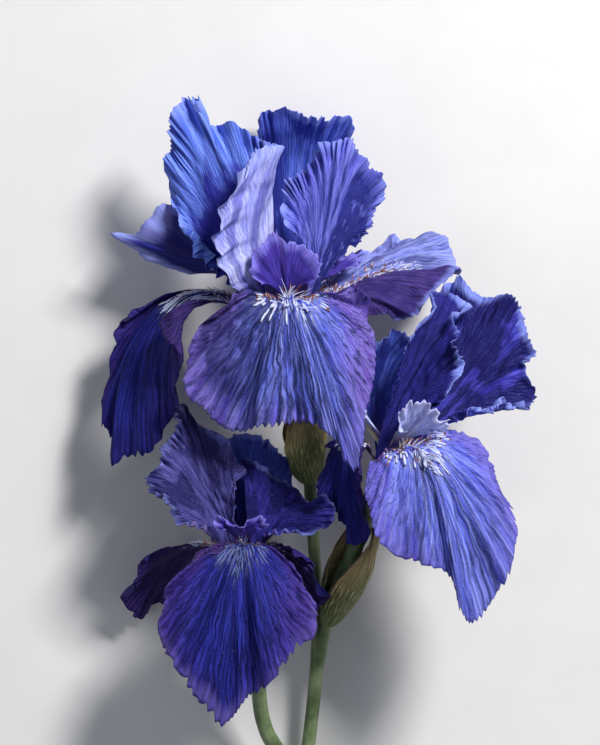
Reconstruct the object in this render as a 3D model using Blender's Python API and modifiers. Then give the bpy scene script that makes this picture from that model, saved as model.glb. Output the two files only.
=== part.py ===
"""A picked stalk of tall bearded iris with three open blooms, lying on its back.

Metres, +Z up. The stalk lies along Y with its cut end at -Y, and the faces of the blooms look up.
Every petal is a fan of veins that run from its claw to its margin, with a ruffle that grows towards
the margin. Shapes inside a bloom are in millimetres from the bloom's heart, where its veins meet:
x to the right, y towards the standards, z towards the viewer.
"""

import math
import random
from dataclasses import dataclass

import bmesh
import bpy
import numpy as np
from mathutils import Vector

# Driving dimensions, in metres
MM = 0.001
PETAL_THICKNESS = 0.8 * MM
STYLE_THICKNESS = 1.0 * MM
BRACT_THICKNESS = 0.8 * MM
SEAT_GAP = 0.8 * MM
FLOOR_SOFTNESS = 0.6 * MM
# The middle of the laid stalk's box, right and up, which stands over the origin
MIDDLE = Vector((7.45, 103.85, 0.0)) * MM

# Sizes inside a bloom, in millimetres. A drop is how far below the heart something lies.
RIM_RADIUS = 7.2
RIM_DROP = 11.5
CLAW_RADIUS = 6.0
CLAW_DROP = 11.0
FALL_CLAW_WIDTH = 6.4
STANDARD_CLAW_WIDTH = 4.8
NECK_LENGTH = 12.0
SEATED_DROP = CLAW_DROP - 0.1
STYLE_COLUMN_RADIUS = 2.2
STYLE_COLUMN_TOP = 3.0
ARM_ROOT_DROP = 5.0
ARM_ROOT_OUT = 0.6
ARM_HALF_WIDTHS = (1.3, 2.5, 6.0)
STAMEN_RADIUS = 0.65
ANTHER_RADIUS = 1.1
STAMEN_OUT_AND_UP = ((3.8, -SEATED_DROP), (5.0, -6.5), (8.0, -2.2), (12.5, 0.6))
BEARD_RADIUS = 1.1
BEARD_LIFT = 2.0
BEARD_SPAN = (0.30, 0.62)
BEARD_STATIONS = 6
HAIR_LENGTH = 5.0
HAIR_ROOT_RADIUS = 0.55
HAIR_TIP_RADIUS = 0.3
BRACT_MOUTH_RADIUS = 3.9
BRACT_TIP_WIDENING = 0.6
BRACT_TIP_CLOSING = 0.88

# The stalk, in millimetres: its cut end, the fork, a bend and the place of the right branch
STALK_PLACES = ((0, -66, 4.6), (1.5, -18, 9.5), (4, 0, 12), (7.2, 34, 17.5))
STALK_RADII = (4.6, 2.9, 2.5)
LEFT_BRANCH_BEND = (-13, 0, 16)
LEFT_BRANCH_RADIUS = 3.2
RIGHT_BRANCH_SINK = (0.2, 8, 1.6)
RIGHT_BRANCH_RADIUS = 2.3

# How a petal on the far side is shaped, as shares of its reach or height
FALL_ARCH = 0.42
FALL_ROOT_WIDTH = 3.0
FALL_LIFT = 0.36
FALL_LIFT_FROM = 16.0
STANDARD_ROOT_WIDTH = 3.5
FAR_MARGIN_STEPS = 10

# How finely the petals are divided: along the veins, and from one side to the other
FACE_GRID = (6, 22)
BACK_GRID = (5, 14)
STYLE_GRID = (4, 7)
BRACT_GRID = (5, 6)

STALK_COLOUR = (0.16, 0.22, 0.09, 1)
BRACT_COLOUR = (0.30, 0.29, 0.12, 1)
FALL_COLOUR = (0.10, 0.10, 0.55, 1)
STANDARD_COLOUR = (0.24, 0.30, 0.78, 1)
STYLE_COLOUR = (0.19, 0.11, 0.48, 1)
BEARD_COLOUR = (0.86, 0.80, 0.62, 1)
STAMEN_COLOUR = (0.75, 0.72, 0.66, 1)


@dataclass(frozen=True)
class Bloom:
    """Where a bloom lies: its heart and the foot of its ovary in metres, and its lean in degrees."""

    name: str
    heart: tuple
    lean: float  # to the right of +Y
    root: tuple

    def frame(self):
        """The bloom's own right, up and forward directions."""
        angle = math.radians(self.lean)
        right = np.array([math.cos(angle), -math.sin(angle), 0.0])
        up = np.array([math.sin(angle), math.cos(angle), 0.0])
        return right, up, np.array([0.0, 0.0, 1.0])

    def outward(self, bearing):
        """Outward and right-hand directions at a bearing round the bloom: 0 faces the viewer."""
        right, _, forward = self.frame()
        angle = math.radians(bearing)
        out = right * math.sin(angle) + forward * math.cos(angle)
        return out, right * math.cos(angle) - forward * math.sin(angle)


@dataclass(frozen=True)
class Petal:
    """One petal: the handles of its left edge, midrib and right edge, and the points of its margin.

    The points are in millimetres from the heart. The margin runs from the left edge's end, round the
    tip, to the right edge's end, as seen from outside the bloom.
    """

    name: str
    bearing: float
    left: tuple
    middle: tuple
    right: tuple
    margin: tuple
    ruffle: float = 2.0
    waves: float = 5.0
    rib: float = 0.0  # how far from the middle the midrib's handles act, -1 left to 1 right
    claw_width: float = STANDARD_CLAW_WIDTH
    grid: tuple = FACE_GRID


# The three blooms. Hearts are places on the laid stalk: right, along the stalk, above the surface.
TOP = Bloom("top", (-5 * MM, 189 * MM, 46 * MM), -2, (4 * MM, 112 * MM, 26 * MM))
RIGHT = Bloom("right", (40 * MM, 129 * MM, 58 * MM), 18, (12 * MM, 52 * MM, 24 * MM))
LEFT = Bloom("left", (-23 * MM, 86 * MM, 46 * MM), -5, (-19 * MM, 34 * MM, 30 * MM))

# Petals that the viewer sees, drawn after the flower: right, up, towards the viewer
TOP_PETALS = (
    Petal(
        "fall_front", 0,
        left=((-6, 2, 10), (-16, 4, 18)), middle=((0, 6, 12), (-1, 8, 34)), right=((6, 2, 10), (16, 4, 18)),
        margin=(
            (-22, -2, 20), (-34, -10, 20), (-43, -24, 18), (-43, -42, 21), (-33, -57, 23), (-22, -62, 22),
            (-8, -58, 29), (6, -56, 30), (20, -62, 33), (28, -77, 36), (35, -55, 30), (39, -30, 23),
            (35, -12, 20), (23, -2, 20),
        ),
        ruffle=2.0, waves=6, claw_width=FALL_CLAW_WIDTH,
    ),
    Petal(
        "fall_left", -112,
        left=((-18, 4, -14), (-50, 10, -24)), middle=((-20, 4, -9), (-74, 26, -14)),
        right=((-14, -4, 0), (-44, 6, 10)),
        margin=(
            (-68, -9, -14), (-75, -27, -20), (-78, -42, -22), (-80, -60, -18), (-74, -74, -12),
            (-66, -74, -6), (-55, -70, -3), (-49, -58, 2), (-48, -44, 8), (-47, -33, 12), (-55, -13, 11),
        ),
        ruffle=2.0, waves=5, claw_width=FALL_CLAW_WIDTH,
    ),
    Petal(
        "fall_right", 108,
        left=((10, -8, 0), (20, 2, 3)), middle=((16, 0, -6), (40, 20, -12)),
        right=((12, 2, -12), (18, 12, -24)),
        margin=(
            (28, -1, 4), (35, -7, 5), (44, -8, 4), (52, -13, 4), (60, -6, 0), (67, 2, -6), (75, 5, -14),
            (72, 14, -22), (68, 24, -28), (58, 26, -31), (50, 21, -32), (42, 20, -32), (33, 21, -30),
            (25, 15, -24),
        ),
        ruffle=2.4, waves=7, claw_width=FALL_CLAW_WIDTH,
    ),
    Petal(
        "standard_left", -60,
        left=((-14, 2, 4), (-34, 8, 6)), middle=((-7, 0, 10), (-4, 30, 8)),
        right=((-14, -3, 12), (-40, 14, 28)),
        margin=(
            (-36, 20, 8), (-43, 32, 3), (-53, 49, -2), (-50, 65, 0), (-50, 78, 2), (-43, 86, 4),
            (-38, 76, 6),
            (-26, 74, 6), (-13, 68, 5), (-2, 64, 8), (0, 58, 15), (-9, 59, 22), (-16, 54, 25),
        ),
        ruffle=2.0, waves=8, rib=0.5,
    ),
    Petal(
        "standard_right", 58,
        left=((8, 2, 8), (14, 18, 12)), middle=((10, 4, 10), (18, 30, 17)),
        right=((12, 6, 5), (22, 16, -6)),
        margin=(
            (6, 24, 8), (0, 29, 5), (-2, 46, 2), (6, 55, 3), (20, 66, 8), (26, 67, 9), (30, 59, 3),
            (40, 53, -6),
            (41, 42, -10), (35, 32, -11), (28, 24, -9),
        ),
        ruffle=1.8, waves=6,
    ),
    Petal(
        "standard_back", 180,
        left=((8, 4, -24), (22, 22, -38)), middle=((0, 6, -28), (2, 46, -72)),
        right=((-8, 4, -24), (-20, 22, -38)),
        margin=(
            (24, 40, -38), (27, 54, -38), (24, 66, -32), (28, 73, -28), (20, 79, -29), (11, 81, -28),
            (2, 82, -27),
            (-6, 82, -28), (-12, 79, -32), (-14, 70, -36), (-19, 56, -38), (-22, 40, -36),
        ),
        ruffle=2.0, waves=6,
    ),
)

RIGHT_PETALS = (
    Petal(
        "fall_front", 25,
        left=((-4, -4, 9), (-5, -4, 13)), middle=((6, 4, 14), (16, 4, 30)), right=((10, 2, 8), (22, 6, 8)),
        margin=(
            (-3, -6, 14), (-10, -11, 14), (-13, -20, 15), (-11, -33, 18), (-4, -48, 21), (8, -52, 23),
            (21, -54, 25),
            (27, -67, 25), (31, -80, 24), (40, -70, 23), (50, -54, 20), (53, -36, 17), (48, -20, 14),
            (41, -9, 10),
            (38, 0, 5), (31, 1, 4),
        ),
        ruffle=1.8, waves=7, claw_width=FALL_CLAW_WIDTH,
    ),
    Petal(
        "fall_left", -100,
        left=((-12, 0, -8), (-20, 6, -14)), middle=((-16, 2, -2), (-28, 8, -6)),
        right=((-10, -2, 2), (-14, 0, 5)),
        margin=(
            (-22, 0, -14), (-29, -5, -18), (-31, -16, -20), (-28, -28, -17), (-22, -38, -9), (-15, -48, -1),
            (-13, -42, 3), (-15, -30, 6), (-16, -18, 7), (-16, -9, 6),
        ),
        ruffle=1.6, waves=4, claw_width=FALL_CLAW_WIDTH,
    ),
    Petal(
        "standard_left", -35,
        left=((-6, 6, 7), (-1, 22, 10)), middle=((-3, 8, 8), (8, 30, 7)), right=((-2, 5, 8), (6, 12, 14)),
        margin=(
            (4, 36, 8), (9, 47, 7), (18, 57, 4), (23, 64, -1), (30, 60, 0), (25, 50, 10), (27, 43, 16),
            (29, 33, 20),
            (25, 23, 22), (21, 16, 20), (17, 13, 18),
        ),
        ruffle=1.6, waves=6,
    ),
    Petal(
        "standard_right", 85,
        left=((4, 6, -6), (12, 30, -12)), middle=((12, 2, 0), (34, 28, -6)), right=((9, -3, 3), (16, 4, 8)),
        margin=(
            (20, 56, -14), (27, 69, -12), (38, 61, -6), (51, 60, -2), (54, 50, 2), (58, 41, 4), (54, 32, 6),
            (59, 18, 8), (56, 12, 9), (47, 13, 10), (38, 11, 11), (30, 14, 12), (24, 10, 11),
        ),
        ruffle=2.2, waves=7,
    ),
)

LEFT_PETALS = (
    Petal(
        "fall_front", -10,
        left=((-5, -1, 10), (-8, 2, 16)), middle=((-1, 6, 12), (-3, 8, 30)), right=((4, 0, 10), (8, 2, 16)),
        margin=(
            (-8, -5, 15), (-19, -7, 17), (-29, -15, 17), (-37, -27, 17), (-38, -42, 19), (-30, -56, 21),
            (-20, -70, 18), (-10, -80, 14), (-1, -72, 17), (10, -63, 20), (17, -55, 22), (26, -46, 21),
            (31, -37, 19), (28, -22, 17), (19, -9, 16), (8, -4, 15),
        ),
        ruffle=1.8, waves=6, claw_width=FALL_CLAW_WIDTH,
    ),
    Petal(
        "standard_left", -72,
        left=((-10, -2, 4), (-14, 2, 8)), middle=((-6, 6, 4), (-18, 22, 2)),
        right=((-5, 5, 5), (-4, 16, 7)),
        margin=(
            (-18, 5, 11), (-28, 10, 14), (-35, 18, 15), (-41, 26, 14), (-36, 33, 11), (-34, 41, 10),
            (-29, 47, 9),
            (-26, 58, 4), (-20, 51, 4), (-12, 47, 4), (-5, 38, 4), (-4, 28, 6),
        ),
        ruffle=1.8, waves=6,
    ),
    Petal(
        "standard_right", 52,
        left=((0, 6, 4), (0, 18, 2)), middle=((6, 2, 6), (18, 14, 4)), right=((3, -1, 8), (6, 2, 10)),
        margin=(
            (-1, 36, 0), (8, 31, -2), (18, 24, 0), (28, 18, 2), (38, 15, 5), (37, 7, 8), (30, 4, 10),
            (19, 3, 11),
            (10, 4, 12),
        ),
        ruffle=1.6, waves=5,
    ),
)


@dataclass(frozen=True)
class HiddenFall:
    """A fall on the far side of a bloom: where it points, and how far out and down its tip reaches."""

    name: str
    bearing: float
    reach: float
    drop: float
    width: float

    def petal(self, bloom):
        """The same fall as a Petal, worked out in the bloom's own directions."""
        out, side = bloom.outward(self.bearing)
        up = bloom.frame()[1]

        def place(away, height, across):
            return tuple(out * away + up * height + side * across)

        arch = FALL_ARCH * self.reach
        lift = FALL_LIFT * (arch - FALL_LIFT_FROM)
        half = 0.5 * self.width
        margin = []
        for step in range(FAR_MARGIN_STEPS + 1):
            turn = math.pi * (step / FAR_MARGIN_STEPS - 0.5)
            along = 0.30 + 0.70 * max(math.cos(turn), 0) ** 0.8
            away = arch + (self.reach - arch) * along
            margin.append(place(away, -self.drop * along ** 1.4, half * math.sin(turn)))
        return Petal(
            self.name, self.bearing,
            left=(place(arch * 0.5, 0, -FALL_ROOT_WIDTH), place(arch, 0.8 * lift, -0.5 * half)),
            middle=(place(arch * 0.6, lift, 0), place(arch * 1.5, 2 * lift, 0)),
            right=(place(arch * 0.5, 0, FALL_ROOT_WIDTH), place(arch, 0.8 * lift, 0.5 * half)),
            margin=tuple(margin), ruffle=1.8, waves=4, claw_width=FALL_CLAW_WIDTH, grid=BACK_GRID,
        )


@dataclass(frozen=True)
class HiddenStandard:
    """A standard on the far side of a bloom: where it points, its height, width and bow."""

    name: str
    bearing: float
    height: float
    width: float
    bow: float

    def petal(self, bloom):
        """The same standard as a Petal, worked out in the bloom's own directions."""
        out, side = bloom.outward(self.bearing)
        up = bloom.frame()[1]

        def place(away, height, across):
            return tuple(out * away + up * height + side * across)

        half = 0.5 * self.width
        margin = []
        for step in range(FAR_MARGIN_STEPS + 1):
            turn = math.pi * (step / FAR_MARGIN_STEPS - 0.5)
            rise = 0.45 + 0.55 * max(math.cos(turn), 0) ** 0.7
            margin.append(place(self.bow * (1.15 - 0.45 * rise), self.height * rise, half * math.sin(turn)))
        return Petal(
            self.name, self.bearing,
            left=(
                place(0.5 * self.bow, 3, -STANDARD_ROOT_WIDTH),
                place(self.bow, 0.25 * self.height, -0.8 * half),
            ),
            middle=(place(0.7 * self.bow, 4, 0), place(1.7 * self.bow, 0.5 * self.height, 0)),
            right=(
                place(0.5 * self.bow, 3, STANDARD_ROOT_WIDTH),
                place(self.bow, 0.25 * self.height, 0.8 * half),
            ),
            margin=tuple(margin), ruffle=1.8, waves=4, grid=BACK_GRID,
        )


RIGHT_HIDDEN = (
    HiddenFall("fall_back", 146, reach=68, drop=30, width=46),
    HiddenStandard("standard_back", -152, height=45, width=32, bow=22),
)
LEFT_HIDDEN = (
    HiddenFall("fall_right", 112, reach=31, drop=34, width=30),
    HiddenFall("fall_back", -130, reach=64, drop=32, width=44),
    HiddenStandard("standard_back", 172, height=44, width=38, bow=24),
)


@dataclass(frozen=True)
class Arm:
    """One petal-like arm of a style, with its fringed crest as margin."""

    bearing: float
    handles: tuple
    margin: tuple


TOP_ARMS = (
    Arm(
        0, ((0, 1, 8), (-1, 6, 15)),
        ((-11, 4, 18), (-15, 9, 21), (-14, 17, 21), (-10, 23, 20), (-6, 27, 19), (0, 23, 18), (8, 20, 18),
         (13, 13, 18), (12, 7, 18), (9, 4, 17)),
    ),
    Arm(
        -112, ((-11, 6, -4), (-30, 11, -9)),
        ((-42, 9, -15), (-60, 15, -15), (-68, 20, -12), (-76, 27, -9), (-67, 27, -8), (-60, 34, -7),
         (-55, 39, -7), (-46, 38, -6), (-38, 22, -6), (-32, 11, -5)),
    ),
    Arm(
        108, ((10, 4, -4), (18, 11, -7)),
        ((20, 9, -5), (26, 11, -4), (32, 14, -6), (33, 18, -10), (27, 18, -15), (20, 15, -14),
        (17, 12, -12)),
    ),
)
RIGHT_ARMS = (
    Arm(
        25, ((3, 2, 8), (7, 4, 15)),
        ((4, 3, 16), (3, 8, 18), (5, 14, 22), (11, 17, 24), (16, 12, 25), (20, 8, 22), (25, 10, 18),
        (24, 6, 16),
         (17, 3, 15)),
    ),
    Arm(
        -100, ((-8, 5, -1), (-14, 10, -3)),
        ((-16, 8, -7), (-22, 11, -9), (-25, 17, -8), (-21, 20, -5), (-15, 17, -2), (-12, 11, 0)),
    ),
    Arm(
        146, ((5, 1, -9), (11, 6, -16)),
        ((16, 3, -16), (24, 6, -20), (25, 13, -24), (17, 17, -26), (10, 14, -26), (7, 7, -21)),
    ),
)
LEFT_ARMS = (
    Arm(
        -10, ((-1, 2, 8), (-2, 5, 14)),
        ((-9, 4, 15), (-14, 7, 17), (-13, 12, 18), (-8, 9, 17), (-3, 6, 17), (2, 9, 17), (8, 11, 17),
         (11, 7, 16), (6, 4, 14)),
    ),
    Arm(
        112, ((7, 4, -3), (12, 10, -5)),
        ((13, 8, -2), (18, 12, -1), (21, 18, -4), (18, 22, -8), (13, 18, -10), (9, 10, -8)),
    ),
    Arm(
        -130, ((-7, 3, -6), (-13, 9, -11)),
        ((-18, 6, -10), (-23, 11, -12), (-22, 17, -16), (-15, 20, -18), (-10, 14, -18), (-8, 8, -14)),
    ),
)


@dataclass(frozen=True)
class Bract:
    """A papery bract round an ovary: how far along it starts and ends, its size, and which way it opens."""

    name: str
    bloom: Bloom
    start: float
    end: float
    radius: float
    bearing: float
    wrap: float

    def shape(self, t, v):
        """Places on the bract, in metres: a trough round the ovary that closes to a leaf's tip."""
        route = tube_route(self.bloom)
        foot, head = curve_through(route, np.array(self.start)), curve_through(route, np.array(self.end))
        along = (head - foot) / np.linalg.norm(head - foot)
        out = self.bloom.outward(self.bearing)[0]
        out = out - along * (out @ along)
        out /= np.linalg.norm(out)
        side = np.cross(along, out)
        middle = curve_through(route, self.start + (self.end - self.start) * t)
        swell = (self.radius - BRACT_MOUTH_RADIUS) * np.sin(math.pi * t) ** 0.8
        girth = BRACT_MOUTH_RADIUS + BRACT_TIP_WIDENING * t + swell
        turn = math.radians(self.wrap) * (1 - BRACT_TIP_CLOSING * t ** 2.5) * v
        return middle + MM * girth[:, None] * (np.cos(turn)[:, None] * out + np.sin(turn)[:, None] * side)


BRACTS = (
    Bract("bract_front", RIGHT, -0.02, 0.66, 9.6, 60, 96),
    Bract("bract_back", RIGHT, 0.04, 0.58, 8.2, 240, 72),
    Bract("bract_front", TOP, -0.02, 0.55, 8.6, 20, 96),
    Bract("bract_back", TOP, 0.04, 0.48, 7.6, 200, 74),
    Bract("bract_back", LEFT, 0.0, 0.60, 8.0, 180, 110),
)


def curve_through(points, fraction):
    """Places at a fraction of the way along a smooth curve through points, by chord length."""
    points = np.array(points, float)
    steps = np.linalg.norm(np.diff(points, axis=0), axis=1)
    knots = np.concatenate([[0.0], np.cumsum(steps)])
    knots /= knots[-1]
    slopes = np.gradient(points, knots, axis=0)
    span = np.clip(np.searchsorted(knots, fraction, side="right") - 1, 0, len(points) - 2)
    width = knots[span + 1] - knots[span]
    s = (np.asarray(fraction) - knots[span]) / width
    s, width = s[..., None], width[..., None]
    return (
        points[span] * (1 + 2 * s) * (1 - s) ** 2
        + slopes[span] * width * s * (1 - s) ** 2
        + points[span + 1] * s ** 2 * (3 - 2 * s)
        + slopes[span + 1] * width * s ** 2 * (s - 1)
    )


def claw_place(bloom, petal, v):
    """Where a vein leaves the rim of the flower tube, in millimetres from the heart."""
    out, side = bloom.outward(petal.bearing)
    up = bloom.frame()[1]
    return out * CLAW_RADIUS - up * CLAW_DROP + side * (0.5 * petal.claw_width) * v[..., None]


def across(v, rib, left, middle, right):
    """A handle that slides from the left edge's, through the midrib's, to the right edge's."""
    share = np.where(v < rib, (v - rib) / (1 + rib), (v - rib) / (1 - rib))[..., None]
    side = np.abs(share)
    side = 0.5 * (side + side ** 2 * (3 - 2 * side))
    return np.array(middle) * (1 - side) + np.where(share < 0, np.array(left), np.array(right)) * side


def vein_place(bloom, petal, t, v):
    """A place on the smooth petal: t along a vein, v from the left edge, -1, to the right, 1."""
    t3 = t[..., None]
    return (
        (1 - t3) ** 3 * claw_place(bloom, petal, v)
        + 3 * (1 - t3) ** 2 * t3 * across(v, petal.rib, petal.left[0], petal.middle[0], petal.right[0])
        + 3 * (1 - t3) * t3 ** 2 * across(v, petal.rib, petal.left[1], petal.middle[1], petal.right[1])
        + t3 ** 3 * curve_through(petal.margin, 0.5 * (v + 1))
    )


def petal_place(bloom, petal, t, v):
    """A place on the ruffled petal and the direction its inner face looks, before it meets the surface."""
    reach = 0.01
    low_t, high_t = np.clip(t - reach, 0, 1), np.clip(t + reach, 0, 1)
    low_v, high_v = np.clip(v - reach, -1, 1), np.clip(v + reach, -1, 1)
    along = vein_place(bloom, petal, high_t, v) - vein_place(bloom, petal, low_t, v)
    sideways = vein_place(bloom, petal, t, high_v) - vein_place(bloom, petal, t, low_v)
    face = np.cross(along, sideways)
    face /= np.linalg.norm(face, axis=-1, keepdims=True) + 1e-9
    turn = math.pi * petal.waves * (v + 1)
    wave = np.sin(turn + petal.bearing) + 0.45 * np.sin(1.7 * turn + 2 * petal.bearing)
    place = vein_place(bloom, petal, t, v) + face * (petal.ruffle * t ** 3 * wave)[..., None]
    return place, face


def in_world(bloom, place):
    """Metres on the laid stalk, with what would sink into the surface pressed flat on it."""
    world = np.array(bloom.heart) + np.array(place) * MM
    lift = world[..., 2] - 0.5 * PETAL_THICKNESS
    world[..., 2] = 0.5 * PETAL_THICKNESS + 0.5 * (lift + np.sqrt(lift ** 2 + FLOOR_SOFTNESS ** 2))
    return world


def material(name, colour, roughness):
    """A plain finish for one kind of piece."""
    finish = bpy.data.materials.new(name)
    finish.use_nodes = True
    shader = finish.node_tree.nodes["Principled BSDF"]
    shader.inputs["Base Color"].default_value = colour
    shader.inputs["Roughness"].default_value = roughness
    return finish


def add_object(collection, name, mesh, finish):
    """A mesh as a named object of a collection, smooth where it is round."""
    thing = bpy.data.objects.new(name, mesh)
    collection.objects.link(thing)
    mesh.materials.clear()
    mesh.materials.append(finish)
    mesh.shade_smooth()
    return thing


def bent_grid(name, grid, shape):
    """A flat grid in triangles, bent by shape, a function of t from 0 to 1 and v from -1 to 1."""
    rows, columns = grid
    work = bmesh.new()
    bmesh.ops.create_grid(work, x_segments=columns, y_segments=rows, size=1)
    bmesh.ops.triangulate(work, faces=work.faces[:])
    flat = np.array([vertex.co[:] for vertex in work.verts])
    bent = shape(0.5 * (flat[:, 1] + 1), flat[:, 0])
    for vertex, place in zip(work.verts, bent):
        vertex.co = place
    mesh = bpy.data.meshes.new(name)
    work.to_mesh(mesh)
    work.free()
    return mesh


def add_blade(collection, name, grid, shape, thickness, finish):
    """A thin bent sheet, given its thickness."""
    blade = add_object(collection, name, bent_grid(name, grid, shape), finish)
    wall = blade.modifiers.new("Thickness", "SOLIDIFY")
    wall.thickness = thickness
    wall.offset = 0
    return blade


def add_petal(collection, bloom, petal, finish):
    """One petal of a bloom."""

    def shape(t, v):
        return in_world(bloom, petal_place(bloom, petal, t ** 0.8, v)[0])

    return add_blade(collection, f"{petal.name}_{bloom.name}", petal.grid, shape, PETAL_THICKNESS, finish)


def tube_mesh(name, points, radii, resolution):
    """A closed tube along points, in metres, with a radius at each, as a mesh with its caps welded."""
    curve = bpy.data.curves.new(name, "CURVE")
    curve.dimensions = "3D"
    curve.bevel_depth = 1.0
    curve.bevel_resolution = resolution
    curve.use_fill_caps = True
    spline = curve.splines.new("POLY")
    spline.points.add(len(points) - 1)
    for point, place, radius in zip(spline.points, points, radii):
        point.co = (*place, 1)
        point.radius = radius
    guide = bpy.data.objects.new(name + "_guide", curve)
    bpy.context.scene.collection.objects.link(guide)
    graph = bpy.context.evaluated_depsgraph_get()
    mesh = bpy.data.meshes.new_from_object(guide.evaluated_get(graph))
    bpy.data.objects.remove(guide)
    bpy.data.curves.remove(curve)
    work = bmesh.new()
    work.from_mesh(mesh)
    bmesh.ops.remove_doubles(work, verts=work.verts, dist=0.00001)
    work.to_mesh(mesh)
    work.free()
    mesh.name = name
    return mesh


def joined(base, others):
    """The base with every object of the others' collection joined to it, as one body."""
    union = base.modifiers.new("Join", "BOOLEAN")
    union.operation = "UNION"
    union.operand_type = "COLLECTION"
    union.solver = "MANIFOLD"
    union.collection = others
    graph = bpy.context.evaluated_depsgraph_get()
    mesh = bpy.data.meshes.new_from_object(base.evaluated_get(graph))
    base.modifiers.remove(union)
    base.data = mesh
    for thing in list(others.objects):
        bpy.data.objects.remove(thing)
    bpy.data.collections.remove(others)
    return base


def pieces_to_join(name):
    """An empty collection for what a union takes in."""
    group = bpy.data.collections.new(name)
    bpy.context.scene.collection.children.link(group)
    return group


def add_beard(collection, bloom, petal, finish):
    """The hairy ridge on a fall's midrib: a low tapered rib with hairs leaning out to both sides."""
    t = np.linspace(*BEARD_SPAN, BEARD_STATIONS)
    v = np.zeros_like(t)
    place, face = petal_place(bloom, petal, t, v)
    ridge = in_world(bloom, place + face * BEARD_LIFT)
    size = BEARD_RADIUS * MM * np.sin(np.linspace(0.35, math.pi - 0.35, BEARD_STATIONS)) ** 0.5
    name = f"beard_{petal.name}_{bloom.name}"
    rib = add_object(collection, name, tube_mesh(name, ridge, size, 1), finish)
    hairs = pieces_to_join("hairs")
    draw = random.Random(7)
    along = np.gradient(ridge, axis=0)
    for index in range(1, BEARD_STATIONS - 1):
        for way in (-1, 1):
            sideways = np.cross(along[index], face[index])
            sideways /= np.linalg.norm(sideways)
            lean = face[index] * (0.75 + 0.2 * draw.random()) + sideways * way * (0.5 + 0.2 * draw.random())
            lean /= np.linalg.norm(lean)
            length = HAIR_LENGTH * MM * (0.8 + 0.4 * draw.random())
            root, tip = ridge[index], ridge[index] + lean * length
            sizes = (HAIR_ROOT_RADIUS * MM, HAIR_TIP_RADIUS * MM)
            add_object(hairs, "hair", tube_mesh("hair", (root, tip), sizes, 0), finish)
    return joined(rib, hairs)


def add_style(collection, bloom, arms, finish):
    """The style: a column on the flower tube that parts into three arms with upright crests."""
    up = bloom.frame()[1]
    ends = in_world(bloom, np.array([-up * SEATED_DROP, -up * STYLE_COLUMN_TOP]))
    radius = STYLE_COLUMN_RADIUS * MM
    name = f"style_{bloom.name}"
    column = add_object(collection, name, tube_mesh(name, ends, (radius, radius), 2), finish)
    parts = pieces_to_join("arms")
    for arm in arms:
        out, side = bloom.outward(arm.bearing)
        start = out * ARM_ROOT_OUT - up * ARM_ROOT_DROP

        def shape(t, v):
            t3 = t[..., None]
            first, second, third = (
                np.array(middle) + side * (half * v)[..., None]
                for middle, half in zip((start, *arm.handles), ARM_HALF_WIDTHS)
            )
            place = (
                (1 - t3) ** 3 * first + 3 * (1 - t3) ** 2 * t3 * second
                + 3 * (1 - t3) * t3 ** 2 * third + t3 ** 3 * curve_through(arm.margin, 0.5 * (v + 1))
            )
            return in_world(bloom, place)

        blade = add_blade(parts, "arm", STYLE_GRID, shape, STYLE_THICKNESS, finish)
        graph = bpy.context.evaluated_depsgraph_get()
        solid = bpy.data.meshes.new_from_object(blade.evaluated_get(graph))
        blade.modifiers.clear()
        blade.data = solid
    return joined(column, parts)


def add_stamen(collection, bloom, arm, finish):
    """A stamen between a fall and the style arm over it: a thin thread and a longer anther."""
    out, _ = bloom.outward(arm.bearing)
    up = bloom.frame()[1]
    route = [out * away + up * height for away, height in STAMEN_OUT_AND_UP]
    places = curve_through(route, np.linspace(0, 1, 7))
    radii = [STAMEN_RADIUS * MM] * 4 + [ANTHER_RADIUS * MM] * 2 + [STAMEN_RADIUS * MM]
    name = f"stamen_{round(arm.bearing) % 360}_{bloom.name}"
    return add_object(collection, name, tube_mesh(name, in_world(bloom, places), radii, 0), finish)


def tube_route(bloom):
    """The line of the ovary and flower tube, from the stalk to the rim that carries the petals."""
    up = bloom.frame()[1]
    rim = np.array(bloom.heart) - up * RIM_DROP * MM
    root = np.array(bloom.root)
    neck = rim - up * NECK_LENGTH * MM
    return curve_through([root, 0.5 * (root + neck), neck, rim], np.linspace(0, 1, 9))


def add_flower_tube(collection, bloom, finish):
    """The ovary and the flower tube over it, which flares to the rim."""
    radii = np.array([3.0, 4.4, 4.9, 4.4, 3.4, 3.0, 3.2, 4.6, RIM_RADIUS]) * MM
    name = f"flower_tube_{bloom.name}"
    return add_object(collection, name, tube_mesh(name, tube_route(bloom), radii, 2), finish)


def add_stalk(collection, finish):
    """The main stalk, from its cut end to the top bloom, with the side branches of the other two."""
    end, fork, bend, upper = np.array(STALK_PLACES) * MM
    roots = {bloom.name: np.array(bloom.root) for bloom in (TOP, RIGHT, LEFT)}

    def stopped(points, count):
        """A smooth route through points, cut short at its end so that it only just misses the ovary."""
        route = curve_through(points, np.linspace(0, 1, count))
        last = route[-1] - route[-2]
        route[-1] = route[-1] - last / np.linalg.norm(last) * SEAT_GAP
        return route

    main = stopped([end, fork, bend, upper, roots["top"]], 16)
    left = stopped([fork, np.array(LEFT_BRANCH_BEND) * MM, roots["left"]], 9)
    right = stopped([upper - np.array(RIGHT_BRANCH_SINK) * MM, roots["right"]], 4)
    thick = np.interp(np.arange(16), [0, 5, 15], STALK_RADII) * MM
    stalk = add_object(collection, "stalk", tube_mesh("stalk", main, thick, 2), finish)
    branches = pieces_to_join("branches")
    add_object(branches, "left", tube_mesh("left", left, [LEFT_BRANCH_RADIUS * MM] * 9, 2), finish)
    add_object(branches, "right", tube_mesh("right", right, [RIGHT_BRANCH_RADIUS * MM] * 4, 2), finish)
    return joined(stalk, branches)


def clear_scene():
    """Takes away whatever the scene holds."""
    for thing in list(bpy.data.objects):
        bpy.data.objects.remove(thing)


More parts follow.
